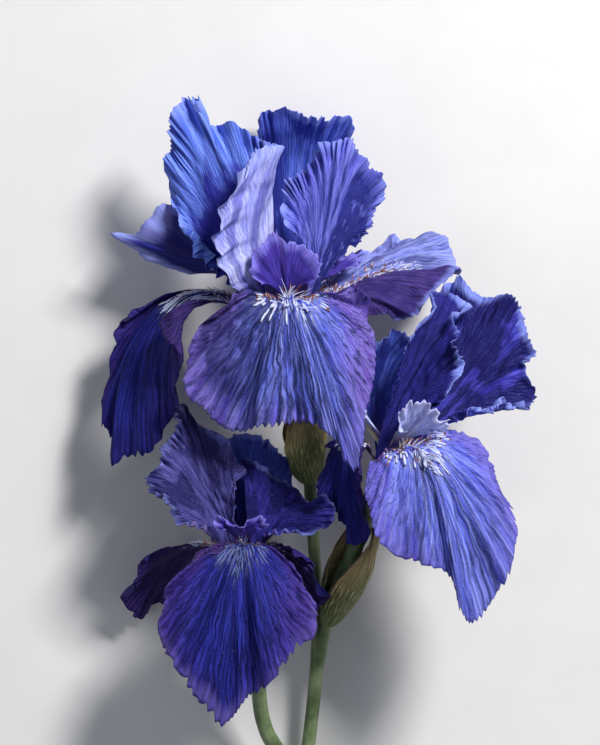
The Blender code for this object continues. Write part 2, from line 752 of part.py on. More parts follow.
def main():
    """Builds the whole stalk."""
    clear_scene()
    iris = bpy.data.collections.new("iris_stalk")
    bpy.context.scene.collection.children.link(iris)
    green = material("stalk", STALK_COLOUR, 0.5)
    papery = material("bract", BRACT_COLOUR, 0.7)
    falls = material("fall", FALL_COLOUR, 0.6)
    standards = material("standard", STANDARD_COLOUR, 0.6)
    styles = material("style", STYLE_COLOUR, 0.6)
    beards = material("beard", BEARD_COLOUR, 0.7)
    stamens = material("stamen", STAMEN_COLOUR, 0.6)
    blooms = (
        (TOP, TOP_PETALS, (), TOP_ARMS),
        (RIGHT, RIGHT_PETALS, RIGHT_HIDDEN, RIGHT_ARMS),
        (LEFT, LEFT_PETALS, LEFT_HIDDEN, LEFT_ARMS),
    )
    for bloom, shown, hidden, arms in blooms:
        add_flower_tube(iris, bloom, green)
        for petal in shown + tuple(shape.petal(bloom) for shape in hidden):
            is_fall = petal.name.startswith("fall")
            add_petal(iris, bloom, petal, falls if is_fall else standards)
            if is_fall:
                add_beard(iris, bloom, petal, beards)
        add_style(iris, bloom, arms, styles)
        for arm in arms:
            add_stamen(iris, bloom, arm, stamens)
    for bract in BRACTS:
        name = f"{bract.name}_{bract.bloom.name}"
        add_blade(iris, name, BRACT_GRID, bract.shape, BRACT_THICKNESS, papery)
    add_stalk(iris, green)
    for thing in iris.objects:
        thing.location = -MIDDLE


main()
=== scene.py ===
"""Dresses a picked stalk of tall bearded iris and sets it out for a portrait from above.

Metres, +Z up. The stalk lies along Y with its cut end at -Y, and its blooms look up at the camera. Shapes
inside a bloom are worked out in millimetres from its heart, where its veins meet: x to the right, y
towards the standards, z towards the viewer.
"""

import logging
import math
from collections.abc import Callable
from dataclasses import dataclass, replace
from enum import Enum

import bpy
import numpy as np
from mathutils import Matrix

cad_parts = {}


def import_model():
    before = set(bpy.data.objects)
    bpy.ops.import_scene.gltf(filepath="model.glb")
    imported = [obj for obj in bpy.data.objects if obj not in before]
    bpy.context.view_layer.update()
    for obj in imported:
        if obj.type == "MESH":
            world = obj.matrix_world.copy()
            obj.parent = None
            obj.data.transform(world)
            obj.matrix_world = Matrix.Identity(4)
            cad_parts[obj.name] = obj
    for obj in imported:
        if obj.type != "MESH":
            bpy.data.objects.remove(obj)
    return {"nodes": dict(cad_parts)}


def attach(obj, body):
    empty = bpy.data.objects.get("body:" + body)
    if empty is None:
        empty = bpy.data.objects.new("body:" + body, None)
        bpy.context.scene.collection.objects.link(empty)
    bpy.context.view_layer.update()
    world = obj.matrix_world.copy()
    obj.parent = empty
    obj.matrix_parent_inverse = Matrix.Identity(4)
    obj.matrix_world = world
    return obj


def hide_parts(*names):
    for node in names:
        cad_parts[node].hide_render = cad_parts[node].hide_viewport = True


LOG = logging.getLogger("iris")

MM = 0.001
MIDDLE = np.array((7.45, 103.85, 0.0)) * MM
BODY = "root"

# Sizes that the petals share with the solids, in millimetres
PETAL_THICKNESS = 0.8
FLOOR_SOFTNESS = 0.6
RIM_RADIUS = 7.2
RIM_DROP = 11.5
CLAW_RADIUS = 6.0
CLAW_DROP = 11.0
NECK_LENGTH = 12.0
FALL_ARCH = 0.42
FALL_ROOT_WIDTH = 3.0
FALL_LIFT = 0.36
FALL_LIFT_FROM = 16.0
STANDARD_ROOT_WIDTH = 3.5

# How much the veins turn outwards on their way to the margin
FLARE = 0.24

# The angles that the margin of a hidden petal turns through, and the steps along a hair and round it
HALF_TURN = math.pi * np.linspace(-0.5, 0.5, 11)
HAIR_RUN = np.linspace(0, 1, 6)
HAIR_SIDES = 5

# How many random heights value noise has each way before it repeats
LATTICE = 64

# A swatch in screen values from 0 to 255, a place or direction, and hairs as their paths, radii and kinds
Colour = tuple[int, int, int]
Point = tuple[float, float, float]
Hairs = tuple[np.ndarray, np.ndarray, np.ndarray]


def linear_colour(swatch: Colour) -> tuple[float, ...]:
    """The linear colour of a swatch, with its alpha."""
    shares = np.array(swatch) / 255
    linear = np.where(shares <= 0.04045, shares / 12.92, ((shares + 0.055) / 1.055) ** 2.4)
    return (*(float(value) for value in linear), 1.0)


def smooth_step(low: float, high: float, value: np.ndarray) -> np.ndarray:
    """Rises smoothly from 0 at low to 1 at high: s squared times (3 - 2s)."""
    share = np.clip((value - low) / (high - low), 0, 1)
    return share * share * (3 - 2 * share)


def value_noise(across: np.ndarray, along: np.ndarray | float, seed: int) -> np.ndarray:
    """Smooth noise from -1 to 1: random heights on a unit lattice, blended by smooth steps.

    Args:
        across: First coordinates, in lattice steps.
        along: Second coordinates, in lattice steps.
        seed: Which lattice is drawn.

    Returns:
        The noise at each pair of coordinates.
    """
    heights = np.random.default_rng(seed).uniform(-1, 1, (LATTICE, LATTICE))
    column, row = np.floor(across).astype(int), np.floor(along).astype(int)
    x, y = across - column, along - row
    x, y = x * x * (3 - 2 * x), y * y * (3 - 2 * y)
    left, right, low, high = (steps % LATTICE for steps in (column, column + 1, row, row + 1))
    bottom = heights[low, left] * (1 - x) + heights[low, right] * x
    top = heights[high, left] * (1 - x) + heights[high, right] * x
    return bottom * (1 - y) + top * y


def curve_through(points: np.ndarray, fraction: np.ndarray) -> np.ndarray:
    """Places along a smooth curve through points.

    Each span is a cubic Hermite curve. Its knots are the chord lengths, and its slopes are the central
    differences of the points.

    Args:
        points: The points that the curve passes through, one row each.
        fraction: How far along the curve each place is, from 0 to 1.

    Returns:
        One place for each fraction.
    """
    points = np.asarray(points, float)
    steps = np.linalg.norm(np.diff(points, axis=0), axis=1)
    knots = np.concatenate([[0.0], np.cumsum(steps)])
    knots /= knots[-1]
    slopes = np.gradient(points, knots, axis=0)
    span = np.clip(np.searchsorted(knots, fraction, side="right") - 1, 0, len(points) - 2)
    width = (knots[span + 1] - knots[span])[..., None]
    s = (np.asarray(fraction) - knots[span])[..., None] / width
    return (
        points[span] * (1 + 2 * s) * (1 - s) ** 2
        + slopes[span] * width * s * (1 - s) ** 2
        + points[span + 1] * s ** 2 * (3 - 2 * s)
        + slopes[span + 1] * width * s ** 2 * (s - 1)
    )


def unit(vectors: np.ndarray) -> np.ndarray:
    """The same vectors at length 1."""
    return vectors / (np.linalg.norm(vectors, axis=-1, keepdims=True) + 1e-12)


@dataclass(frozen=True)
class Bloom:
    """Where a bloom lies: its heart and the foot of its ovary in millimetres, and its lean in degrees."""

    name: str
    heart: Point
    lean: float
    root: Point

    def frame(self) -> tuple[np.ndarray, np.ndarray, np.ndarray]:
        """The bloom's own right, up and forward directions."""
        angle = math.radians(self.lean)
        right = np.array([math.cos(angle), -math.sin(angle), 0.0])
        up = np.array([math.sin(angle), math.cos(angle), 0.0])
        return right, up, np.array([0.0, 0.0, 1.0])

    def outward(self, bearing: float) -> tuple[np.ndarray, np.ndarray]:
        """Outward and right-hand directions at a bearing round the bloom, where 0 faces the viewer."""
        right, _, forward = self.frame()
        angle = math.radians(bearing)
        out = right * math.sin(angle) + forward * math.cos(angle)
        return out, right * math.cos(angle) - forward * math.sin(angle)

    def in_world(self, place: np.ndarray) -> np.ndarray:
        """Metres on the laid stalk, with what would sink into the surface pressed flat on it.

        The height over half a petal's thickness is replaced by half of itself plus its softened size,
        which is never under zero.
        """
        world = np.array(self.heart) + place
        lift = world[..., 2] - 0.5 * PETAL_THICKNESS
        softened = 0.5 * (lift + np.sqrt(lift ** 2 + FLOOR_SOFTNESS ** 2))
        world[..., 2] = 0.5 * PETAL_THICKNESS + softened
        return world * MM - MIDDLE


class Kind(Enum):
    """The two whorls of petals."""

    FALL = "fall"
    STANDARD = "standard"


@dataclass(frozen=True)
class Habit:
    """What the petals of a whorl have in common.

    claw_width is in millimetres, the ruffle grows with a power of t, and the grooves and the curl start
    at a share of the veins.
    """

    claw_width: float
    ruffle_power: float
    grooves_from: float
    curl_from: float


HABITS = {Kind.FALL: Habit(6.4, 3, 0.2, 0.82), Kind.STANDARD: Habit(4.8, 16, 0.45, 0.88)}


@dataclass(frozen=True)
class Look:
    """How a petal's fine form differs from the next one's.

    frill, curl, hem, roll, crumple, crimp, unevenness and pleat are depths in millimetres. The curl bends
    the margin to and fro, the hem is the side edges' frill, hold is how closely it keeps to them, the roll
    turns the right part of the margin back, and the crimp is a finer frill in the frill. frills, hems and
    pleats are counts. onset is higher the nearer the margin the frill starts, busier_right is how much
    stronger the frill is on the right, spread is how far from the midrib the grooves go, and notch is the
    depth of the margin's teeth as a share of a vein. rows and columns are the grid's, and seed sets the
    petal's noise.
    """

    frill: float = 1.0
    frills: float = 11.0
    curl: float = 3.0
    hem: float = 0.6
    hems: float = 4.0
    hold: float = 28.0
    roll: float = 0.0
    unevenness: float = 0.45
    busier_right: float = 0.0
    crumple: float = 0.35
    crimp: float = 0.6
    pleat: float = 0.35
    pleats: float = 26.0
    spread: float = 1.0
    onset: float = 1.6
    notch: float = 0.014
    rows: int = 64
    columns: int = 120
    seed: int = 1


@dataclass(frozen=True)
class Petal:
    """One petal: the handles of its left edge, midrib and right edge, and the points of its margin.

    The points are in millimetres from the heart. The margin runs from the left edge's end, round the
    tip, to the right edge's end, as seen from outside the bloom. rib is the vein that the midrib lies on.
    """

    name: str
    bearing: float
    finish: str
    left: tuple[Point, Point]
    middle: tuple[Point, Point]
    right: tuple[Point, Point]
    margin: tuple[Point, ...]
    ruffle: float
    waves: float
    look: Look
    rib: float = 0.0

    @property
    def kind(self) -> Kind:
        """Which whorl the petal belongs to, as its name says."""
        return Kind.FALL if self.name.startswith("fall") else Kind.STANDARD

    @property
    def habit(self) -> Habit:
        """What it has in common with its whorl."""
        return HABITS[self.kind]


TOP = Bloom("top", (-5, 189, 46), -2, (4, 112, 26))
RIGHT = Bloom("right", (40, 129, 58), 18, (12, 52, 24))
LEFT = Bloom("left", (-23, 86, 46), -5, (-19, 34, 30))

# Petals that the viewer sees
TOP_PETALS = (
    Petal(
        "fall_front", 0, "fall_main", ruffle=2.0, waves=6,
        look=Look(frill=1.3, frills=13, curl=2.0, roll=4.0, pleat=0.7, pleats=17, spread=0.5, rows=96,
                  columns=250, seed=3),
        left=((-6, 2, 10), (-16, 4, 18)), middle=((0, 6, 12), (-1, 8, 34)), right=((6, 2, 10), (16, 4, 18)),
        margin=((-22, -2, 20), (-34, -10, 20), (-43, -24, 18), (-43, -40, 21), (-35, -51, 23),
                (-22, -58, 22), (-8, -57, 29), (6, -56, 30), (20, -62, 33), (28, -77, 36), (35, -55, 30),
                (39, -30, 23), (35, -12, 20), (23, -2, 20)),
    ),
    Petal(
        "fall_left", -112, "fall_shaded", ruffle=2.0, waves=5,
        look=Look(frill=1.2, frills=9, pleat=0.5, pleats=20, seed=4),
        left=((-18, 4, -14), (-50, 10, -24)), middle=((-20, 4, -9), (-74, 26, -14)),
        right=((-14, -4, 0), (-44, 6, 10)),
        margin=((-68, -9, -14), (-75, -27, -20), (-78, -42, -22), (-80, -60, -18), (-74, -74, -12),
                (-66, -74, -6), (-55, -70, -3), (-49, -58, 2), (-48, -44, 8), (-47, -33, 12), (-55, -13, 11)),
    ),
    Petal(
        "fall_right", 108, "fall_pale", ruffle=3.0, waves=5,
        look=Look(frill=2.3, frills=10, curl=5.0, crumple=0.6, pleat=0.3, pleats=20, rows=72, columns=170,
                  seed=5),
        left=((10, -8, 0), (20, 2, 3)), middle=((16, 0, -6), (40, 20, -12)),
        right=((12, 2, -12), (18, 12, -24)),
        margin=((28, -1, 4), (35, -7, 5), (44, -8, 4), (52, -13, 4), (60, -6, 0), (67, 2, -6), (75, 5, -14),
                (72, 14, -22), (68, 24, -28), (58, 26, -31), (50, 21, -32), (42, 20, -32), (33, 21, -30),
                (25, 15, -24)),
    ),
    Petal(
        "standard_left", -60, "standard_sky", ruffle=2.0, waves=8, rib=0.5,
        look=Look(frill=1.8, frills=23, crimp=1.6, curl=3.5, hem=3.4, hems=8, hold=9.0, crumple=0.65,
                  unevenness=0.16, pleat=0.13, pleats=30, onset=10.0, busier_right=0.95, rows=92,
                  columns=300, seed=6),
        left=((-14, 2, 4), (-34, 8, 6)), middle=((-7, 0, 10), (-4, 30, 8)),
        right=((-14, -3, 12), (-48, 8, 30)),
        margin=((-36, 20, 8), (-43, 32, 3), (-53, 49, -2), (-50, 65, 0), (-50, 78, 2), (-43, 86, 4),
                (-38, 76, 6), (-26, 74, 6), (-13, 68, 5), (-4, 66, 8), (-1, 63, 14), (-6, 63, 20),
                (-12, 60, 24), (-17, 54, 25)),
    ),
    Petal(
        "standard_right", 58, "standard_lavender", ruffle=1.8, waves=6,
        look=Look(frill=1.6, frills=20, crimp=1.5, curl=4.0, hem=1.0, hems=6, crumple=0.65, unevenness=0.2,
                  pleat=0.15, pleats=24, onset=10.0, busier_right=-0.6, columns=250, seed=7),
        left=((8, 2, 8), (14, 18, 12)), middle=((10, 4, 10), (18, 30, 17)), right=((12, 6, 5), (22, 16, -6)),
        margin=((6, 24, 8), (0, 29, 5), (-2, 46, 2), (6, 55, 3), (20, 66, 8), (26, 67, 9), (30, 59, 3),
                (40, 53, -6), (41, 42, -10), (35, 32, -11), (28, 24, -9)),
    ),
    Petal(
        "standard_back", 180, "standard_blue", ruffle=2.0, waves=6,
        look=Look(frill=1.5, frills=20, crimp=1.6, curl=4.0, crumple=0.5, unevenness=0.2, pleat=0.15,
                  pleats=24, onset=9.0, columns=230, seed=8),
        left=((8, 4, -24), (22, 22, -38)), middle=((0, 6, -28), (2, 46, -72)),
        right=((-8, 4, -24), (-20, 22, -38)),
        margin=((24, 40, -38), (27, 54, -38), (24, 66, -32), (28, 73, -28), (20, 79, -29), (11, 81, -28),
                (2, 82, -27), (-6, 82, -28), (-12, 79, -32), (-14, 70, -36), (-19, 56, -38), (-22, 40, -36)),
    ),
)

RIGHT_PETALS = (
    Petal(
        "fall_front", 25, "fall_lit", ruffle=1.8, waves=7,
        look=Look(frill=1.3, frills=12, curl=2.6, roll=4.0, pleat=0.6, pleats=16, spread=0.5, notch=0.022,
                  rows=88, columns=230, seed=9),
        left=((-4, -4, 9), (-5, -4, 13)), middle=((6, 4, 14), (16, 4, 30)), right=((10, 2, 8), (22, 6, 8)),
        margin=((-3, -6, 14), (-10, -11, 14), (-13, -20, 15), (-11, -33, 18), (-4, -48, 21), (8, -53, 23),
                (19, -57, 24), (26, -68, 24), (31, -80, 24), (40, -70, 23), (50, -54, 20), (53, -36, 17),
                (48, -20, 14), (41, -9, 10), (38, 0, 5), (31, 1, 4)),
    ),
    Petal(
        "fall_left", -100, "fall_shaded", ruffle=1.6, waves=4,
        look=Look(frill=1.1, frills=8, pleat=0.4, pleats=18, rows=60, columns=90, seed=10),
        left=((-12, 0, -8), (-20, 6, -14)), middle=((-16, 2, -2), (-28, 8, -6)),
        right=((-10, -2, 2), (-14, 0, 5)),
        margin=((-22, 0, -14), (-29, -5, -18), (-31, -16, -20), (-28, -28, -17), (-22, -38, -9),
                (-15, -48, -1), (-13, -42, 3), (-15, -30, 6), (-16, -18, 7), (-16, -9, 6)),
    ),
    Petal(
        "standard_left", -35, "standard_shaded", ruffle=1.6, waves=6,
        look=Look(frill=1.6, frills=17, crimp=1.6, curl=3.5, hem=1.8, hems=7, crumple=0.55, unevenness=0.18,
                  pleat=0.15, pleats=22, onset=8.0, busier_right=0.6, columns=220, seed=11),
        left=((-6, 6, 7), (-1, 22, 10)), middle=((-3, 8, 8), (8, 30, 7)), right=((-2, 5, 8), (6, 12, 14)),
        margin=((4, 36, 8), (9, 47, 7), (18, 57, 4), (23, 64, -1), (30, 60, 0), (25, 50, 10), (27, 43, 16),
                (29, 33, 20), (25, 23, 22), (21, 16, 20), (17, 13, 18)),
    ),
    Petal(
        "standard_right", 85, "standard_dappled_shade", ruffle=2.2, waves=7,
        look=Look(frill=1.8, frills=20, crimp=1.3, curl=3.4, hem=0.9, hems=5, crumple=0.7, unevenness=0.2,
                  pleat=0.15, pleats=26, onset=8.0, busier_right=-0.5, rows=76, columns=260, seed=12),
        left=((4, 6, -6), (12, 30, -12)), middle=((12, 2, 0), (34, 28, -6)), right=((9, -3, 3), (16, 4, 8)),
        margin=((20, 56, -14), (27, 69, -12), (38, 61, -6), (51, 60, -2), (54, 50, 2), (58, 41, 4),
                (54, 32, 6), (59, 18, 8), (56, 12, 9), (47, 13, 10), (38, 11, 11), (30, 14, 12),
                (24, 10, 11)),
    ),
)

LEFT_PETALS = (
    Petal(
        "fall_front", -10, "fall_low_shaded", ruffle=1.8, waves=6,
        look=Look(frill=1.3, frills=12, curl=2.4, pleat=0.6, pleats=16, spread=0.5, notch=0.018, rows=80,
                  columns=200, seed=13),
        left=((-5, -1, 10), (-8, 2, 16)), middle=((-1, 6, 12), (-3, 8, 30)), right=((4, 0, 10), (8, 2, 16)),
        margin=((-8, -5, 15), (-19, -7, 17), (-29, -15, 17), (-37, -27, 17), (-38, -42, 19), (-30, -56, 21),
                (-20, -70, 18), (-10, -80, 14), (-1, -72, 17), (10, -63, 20), (17, -55, 22), (26, -46, 21),
                (31, -37, 19), (28, -22, 17), (19, -9, 16), (8, -4, 15)),
    ),
    Petal(
        "standard_left", -72, "standard_violet", ruffle=1.8, waves=6,
        look=Look(frill=1.6, frills=16, crimp=1.3, curl=3.5, hem=1.0, hems=5, crumple=0.6, unevenness=0.2,
                  pleat=0.15, pleats=22, onset=8.0, columns=180, seed=14),
        left=((-10, -2, 4), (-14, 2, 8)), middle=((-6, 6, 4), (-18, 22, 2)), right=((-5, 5, 5), (-4, 16, 7)),
        margin=((-18, 5, 11), (-28, 10, 14), (-35, 18, 15), (-41, 26, 14), (-36, 33, 11), (-34, 41, 10),
                (-29, 47, 9), (-26, 58, 4), (-20, 51, 4), (-12, 47, 4), (-5, 38, 4), (-4, 28, 6)),
    ),
    Petal(
        "standard_right", 52, "standard_violet_shaded", ruffle=1.6, waves=5,
        look=Look(frill=1.6, frills=15, crimp=1.3, curl=3.0, hem=1.0, hems=5, crumple=0.6, unevenness=0.2,
                  pleat=0.15, pleats=20, onset=8.0, columns=180, seed=15),
        left=((0, 6, 4), (0, 18, 2)), middle=((6, 2, 6), (18, 14, 4)), right=((3, -1, 8), (6, 2, 10)),
        margin=((-1, 36, 0), (8, 31, -2), (18, 24, 0), (28, 18, 2), (38, 15, 5), (37, 7, 8), (30, 4, 10),
                (19, 3, 11), (10, 4, 12)),
    ),
)


@dataclass(frozen=True)
class HiddenPetal:
    """A petal on the far side of a bloom: where it points, and its width in millimetres."""

    name: str
    bearing: float
    width: float
    seed: int

    def place(self, bloom: Bloom, away: float, height: float, aside: float) -> Point:
        """The place that lies so far out, up and aside of the bloom's heart, as the petal points."""
        out, side = bloom.outward(self.bearing)
        return tuple(out * away + bloom.frame()[1] * height + side * aside)

    def finished(
        self, bloom: Bloom, finish: str, middle: tuple[Point, Point], right: tuple[Point, Point],
        margin: list[Point],
    ) -> Petal:
        """The petal, with the coarser look of the far side and a left edge that mirrors the right one.

        Args:
            bloom: The bloom that it grows on.
            finish: Its finish.
            middle: The midrib's handles, each as how far out, up and aside it lies.
            right: The right edge's handles.
            margin: The margin's points.

        Returns:
            The petal, worked out in the bloom's own directions.
        """
        left = [(away, height, -aside) for away, height, aside in right]
        curves = (left, middle, right, margin)
        sides = (tuple(self.place(bloom, *point) for point in points) for points in curves)
        return Petal(
            self.name, self.bearing, finish, *sides, ruffle=1.8, waves=4,
            look=Look(frill=1.1, frills=9, pleat=0.4, pleats=18, rows=50, columns=80, seed=self.seed),
        )


@dataclass(frozen=True)
class HiddenFall(HiddenPetal):
    """A fall on the far side of a bloom, with how far out and down its tip reaches."""

    reach: float
    drop: float

    def petal(self, bloom: Bloom) -> Petal:
        """The same fall as a Petal of the bloom.

        Its haft rises along an arch. From there the margin swings out by the cosine and aside by the
        sine of an angle that turns from -90 to 90 degrees, while it drops.

        Args:
            bloom: The bloom that it grows on.

        Returns:
            The petal.
        """
        arch, half = FALL_ARCH * self.reach, 0.5 * self.width
        lift = FALL_LIFT * (arch - FALL_LIFT_FROM)
        margin = []
        for turn in HALF_TURN:
            along = 0.30 + 0.70 * max(math.cos(turn), 0) ** 0.8
            away = arch + (self.reach - arch) * along
            margin.append((away, -self.drop * along ** 1.4, half * math.sin(turn)))
        middle = ((arch * 0.6, lift, 0), (arch * 1.5, 2 * lift, 0))
        right = ((arch * 0.5, 0, FALL_ROOT_WIDTH), (arch, 0.8 * lift, 0.5 * half))
        return self.finished(bloom, "fall_shaded", middle, right, margin)


@dataclass(frozen=True)
class HiddenStandard(HiddenPetal):
    """A standard on the far side of a bloom, with its height and bow."""

    height: float
    bow: float

    def petal(self, bloom: Bloom) -> Petal:
        """The same standard as a Petal of the bloom.

        The margin rises by the cosine and spreads by the sine of an angle that turns from -90 to 90
        degrees, and leans in as it rises.

        Args:
            bloom: The bloom that it grows on.

        Returns:
            The petal.
        """
        bow, height, half = self.bow, self.height, 0.5 * self.width
        margin = []
        for turn in HALF_TURN:
            rise = 0.45 + 0.55 * max(math.cos(turn), 0) ** 0.7
            margin.append((bow * (1.15 - 0.45 * rise), height * rise, half * math.sin(turn)))
        middle = ((0.7 * bow, 4, 0), (1.7 * bow, 0.5 * height, 0))
        right = ((0.5 * bow, 3, STANDARD_ROOT_WIDTH), (bow, 0.25 * height, 0.8 * half))
        return self.finished(bloom, "standard_blue", middle, right, margin)


RIGHT_HIDDEN = (
    HiddenFall("fall_back", 146, width=46, seed=21, reach=68, drop=30),
    HiddenStandard("standard_back", -152, width=32, seed=22, height=45, bow=22),
)
LEFT_HIDDEN = (
    HiddenFall("fall_right", 112, width=30, seed=23, reach=31, drop=34),
    HiddenFall("fall_back", -130, width=44, seed=24, reach=64, drop=32),
    HiddenStandard("standard_back", 172, width=38, seed=25, height=44, bow=24),
)


@dataclass(frozen=True)
class Arm:
    """One petal-like arm of a style, with its fringed crest as margin, and how much of it is painted in
    shade.
    """

    bearing: float
    handles: tuple[Point, Point]
    margin: tuple[Point, ...]
    # How much of the arm takes the darker colours of painted shade
    tone: float = 0.0
    relief: float = 1.0


TOP_ARMS: tuple[Arm, ...] = (
    Arm(
        0, ((0, 1, 8), (-1, 6, 15)),
        ((-12, 4, 18), (-17, 10, 21), (-16, 18, 21), (-11, 23, 20), (-7, 29, 19), (-2, 24, 18), (4, 23, 18),
         (11, 19, 18), (15, 13, 18), (14, 8, 18), (9, 4, 17)),
        relief=0.7,
    ),
    Arm(
        -112, ((-11, 6, -4), (-30, 11, -9)),
        ((-42, 9, -15), (-60, 15, -15), (-68, 20, -12), (-76, 27, -9), (-67, 27, -8), (-60, 34, -7),
         (-55, 39, -7), (-46, 38, -6), (-38, 22, -6), (-32, 11, -5)),
        # This arm lies in shadow, so it is painted in the darker shade colours
        tone=1.0, relief=0.3,
    ),
    Arm(
        108, ((10, 4, -4), (18, 11, -7)),
        ((20, 9, -5), (26, 11, -4), (32, 14, -6), (33, 18, -10), (27, 18, -15), (20, 15, -14),
        (17, 12, -12)),
    ),
)
RIGHT_ARMS: tuple[Arm, ...] = (
    Arm(
        25, ((3, 2, 8), (7, 4, 15)),
        ((4, 2, 16), (1, 7, 18), (2, 13, 21), (7, 17, 23), (13, 17, 24), (17, 13, 24), (19, 8, 22),
         (24, 8, 18), (23, 5, 16), (15, 2, 15)),
        relief=1.2,
    ),
    Arm(
        -100, ((-8, 5, -1), (-14, 10, -3)),
        ((-16, 8, -7), (-22, 11, -9), (-25, 17, -8), (-21, 20, -5), (-15, 17, -2), (-12, 11, 0)),
    ),
    Arm(
        146, ((5, 1, -9), (11, 6, -16)),
        ((16, 3, -16), (24, 6, -20), (25, 13, -24), (17, 17, -26), (10, 14, -26), (7, 7, -21)),
    ),
)
LEFT_ARMS: tuple[Arm, ...] = (
    Arm(
        -10, ((-1, 2, 8), (-2, 5, 14)),
        ((-9, 4, 15), (-14, 7, 17), (-13, 12, 18), (-8, 9, 17), (-3, 6, 17), (2, 9, 17), (8, 11, 17),
         (11, 7, 16), (6, 4, 14)),
    ),
    Arm(
        112, ((7, 4, -3), (12, 10, -5)),
        ((13, 8, -2), (18, 12, -1), (21, 18, -4), (18, 22, -8), (13, 18, -10), (9, 10, -8)),
    ),
    Arm(
        -130, ((-7, 3, -6), (-13, 9, -11)),
        ((-18, 6, -10), (-23, 11, -12), (-22, 17, -16), (-15, 20, -18), (-10, 14, -18), (-8, 8, -14)),
    ),
)


class PetalSurface:
    """The surface of one petal, as a function of t along its veins and v from its left edge to its right."""

    REACH = 0.01

    def __init__(self, bloom: Bloom, petal: Petal) -> None:
        """Keeps the bloom and the petal that the surface is worked out from."""
        self.bloom = bloom
        self.petal = petal
        self.node = f"{petal.name}_{bloom.name}"

    def noise(self, across: np.ndarray, along: np.ndarray | float, salt: int) -> np.ndarray:
        """Smooth noise from -1 to 1 that is this petal's own. The salt tells one from the next."""
        return value_noise(across, along, self.petal.look.seed + salt)

    def handle(self, v: np.ndarray, which: int) -> np.ndarray:
        """A handle that slides from the left edge's, through the midrib's, to the right edge's.

        The slide is the mean of a straight one and a smooth step, so the petal creases a little at the
        midrib.

        Args:
            v: Which vein, from -1 to 1.
            which: 0 for the handle near the claw, 1 for the other.

        Returns:
            The handle's places in millimetres.
        """
        petal = self.petal
        share = np.where(v < petal.rib, (v - petal.rib) / (1 + petal.rib), (v - petal.rib) / (1 - petal.rib))
        share = share[..., None]
        side = np.abs(share)
        side = 0.5 * (side + side ** 2 * (3 - 2 * side))
        edge = np.where(share < 0, np.array(petal.left[which]), np.array(petal.right[which]))
        return np.array(petal.middle[which]) * (1 - side) + edge * side

    def vein(self, t: np.ndarray, v: np.ndarray) -> np.ndarray:
        """A place on the smooth petal: a cubic Bezier curve from the claw, by two handles, to the margin.

        Args:
            t: How far along the veins, from 0 to 1.
            v: Which vein, from -1 to 1.

        Returns:
            The places in millimetres, in the bloom's own frame.
        """
        out, side = self.bloom.outward(self.petal.bearing)
        up = self.bloom.frame()[1]
        claw = out * CLAW_RADIUS - up * CLAW_DROP + side * (0.5 * self.petal.habit.claw_width * v)[..., None]
        t3 = t[..., None]
        return (
            (1 - t3) ** 3 * claw
            + 3 * (1 - t3) ** 2 * t3 * self.handle(v, 0)
            + 3 * (1 - t3) * t3 ** 2 * self.handle(v, 1)
            + t3 ** 3 * curve_through(self.petal.margin, 0.5 * (v + 1))
        )

    def ruffled(self, t: np.ndarray, v: np.ndarray) -> tuple[np.ndarray, np.ndarray]:
        """A place on the ruffled petal, and the direction that its upper face looks.

        The ruffle is two sine waves along the margin that grow with a power of t.

        Args:
            t: How far along the veins, from 0 to 1.
            v: Which vein, from -1 to 1.

        Returns:
            The places in millimetres and the face's directions.
        """
        low_t, high_t = np.clip(t - self.REACH, 0, 1), np.clip(t + self.REACH, 0, 1)
        low_v, high_v = np.clip(v - self.REACH, -1, 1), np.clip(v + self.REACH, -1, 1)
        along = self.vein(high_t, v) - self.vein(low_t, v)
        sideways = self.vein(t, high_v) - self.vein(t, low_v)
        face = unit(np.cross(along, sideways))
        turn = math.pi * self.petal.waves * (v + 1)
        wave = np.sin(turn + self.petal.bearing) + 0.45 * np.sin(1.7 * turn + 2 * self.petal.bearing)
        growth = t ** self.petal.habit.ruffle_power
        return self.vein(t, v) + face * (self.petal.ruffle * growth * wave)[..., None], face

    def pleats(self, t: np.ndarray, v: np.ndarray) -> np.ndarray:
        """How deep the vein grooves are, from 0 to 1.

        A groove is a narrow valley where the vein's number is whole. The number wanders with smooth noise,
        and each groove forks: its two arms start together and end half a number apart. Noise makes some
        of them fade.

        Args:
            t: How far along the veins, from 0 to 1.
            v: Which vein, from -1 to 1.

        Returns:
            The depths.
        """
        look = self.petal.look
        wander = 0.8 * self.noise(2.2 * v, 3.0 * t, 0) + 0.3 * self.noise(7 * v, 6 * t, 1)
        wander = wander + 0.14 * self.noise(9 * v, 13 * t, 17)
        number = 0.5 * look.pleats * (1 + v * (1 - FLARE * t ** 2)) + wander
        fork = 0.25 * smooth_step(0.32, 0.8, t)
        arms = []
        for side, salt in ((-1, 2), (1, 8)):
            gate = np.clip(0.5 + 0.9 * self.noise(number, 2.1 * t, salt), 0, 1)
            valley = np.sin(math.pi * (number + side * fork)) ** 2
            arms.append(gate * (1.07 - np.sqrt(valley + 0.005)) ** 1.8)
        reach = 1 - smooth_step(0.5 * look.spread, 1.7 * look.spread, np.abs(v))
        start = self.petal.habit.grooves_from
        return smooth_step(start, start + 0.3, t) * reach * np.maximum(*arms)

    def teeth(self, v: np.ndarray) -> np.ndarray:
        """How far the margin is cut back, from 0 to about 1.5: a smooth wave and small saw teeth."""
        broad = 0.25 + 0.25 * self.noise(9 * v, 0, 5)
        number = 0.14 * self.petal.look.columns * v + 3.5 * self.noise(5 * v, 0, 6)
        size = np.clip(0.6 + 0.9 * self.noise(13 * v, 0, 11), 0.15, 1.3)
        return broad + size * (number - np.floor(number))

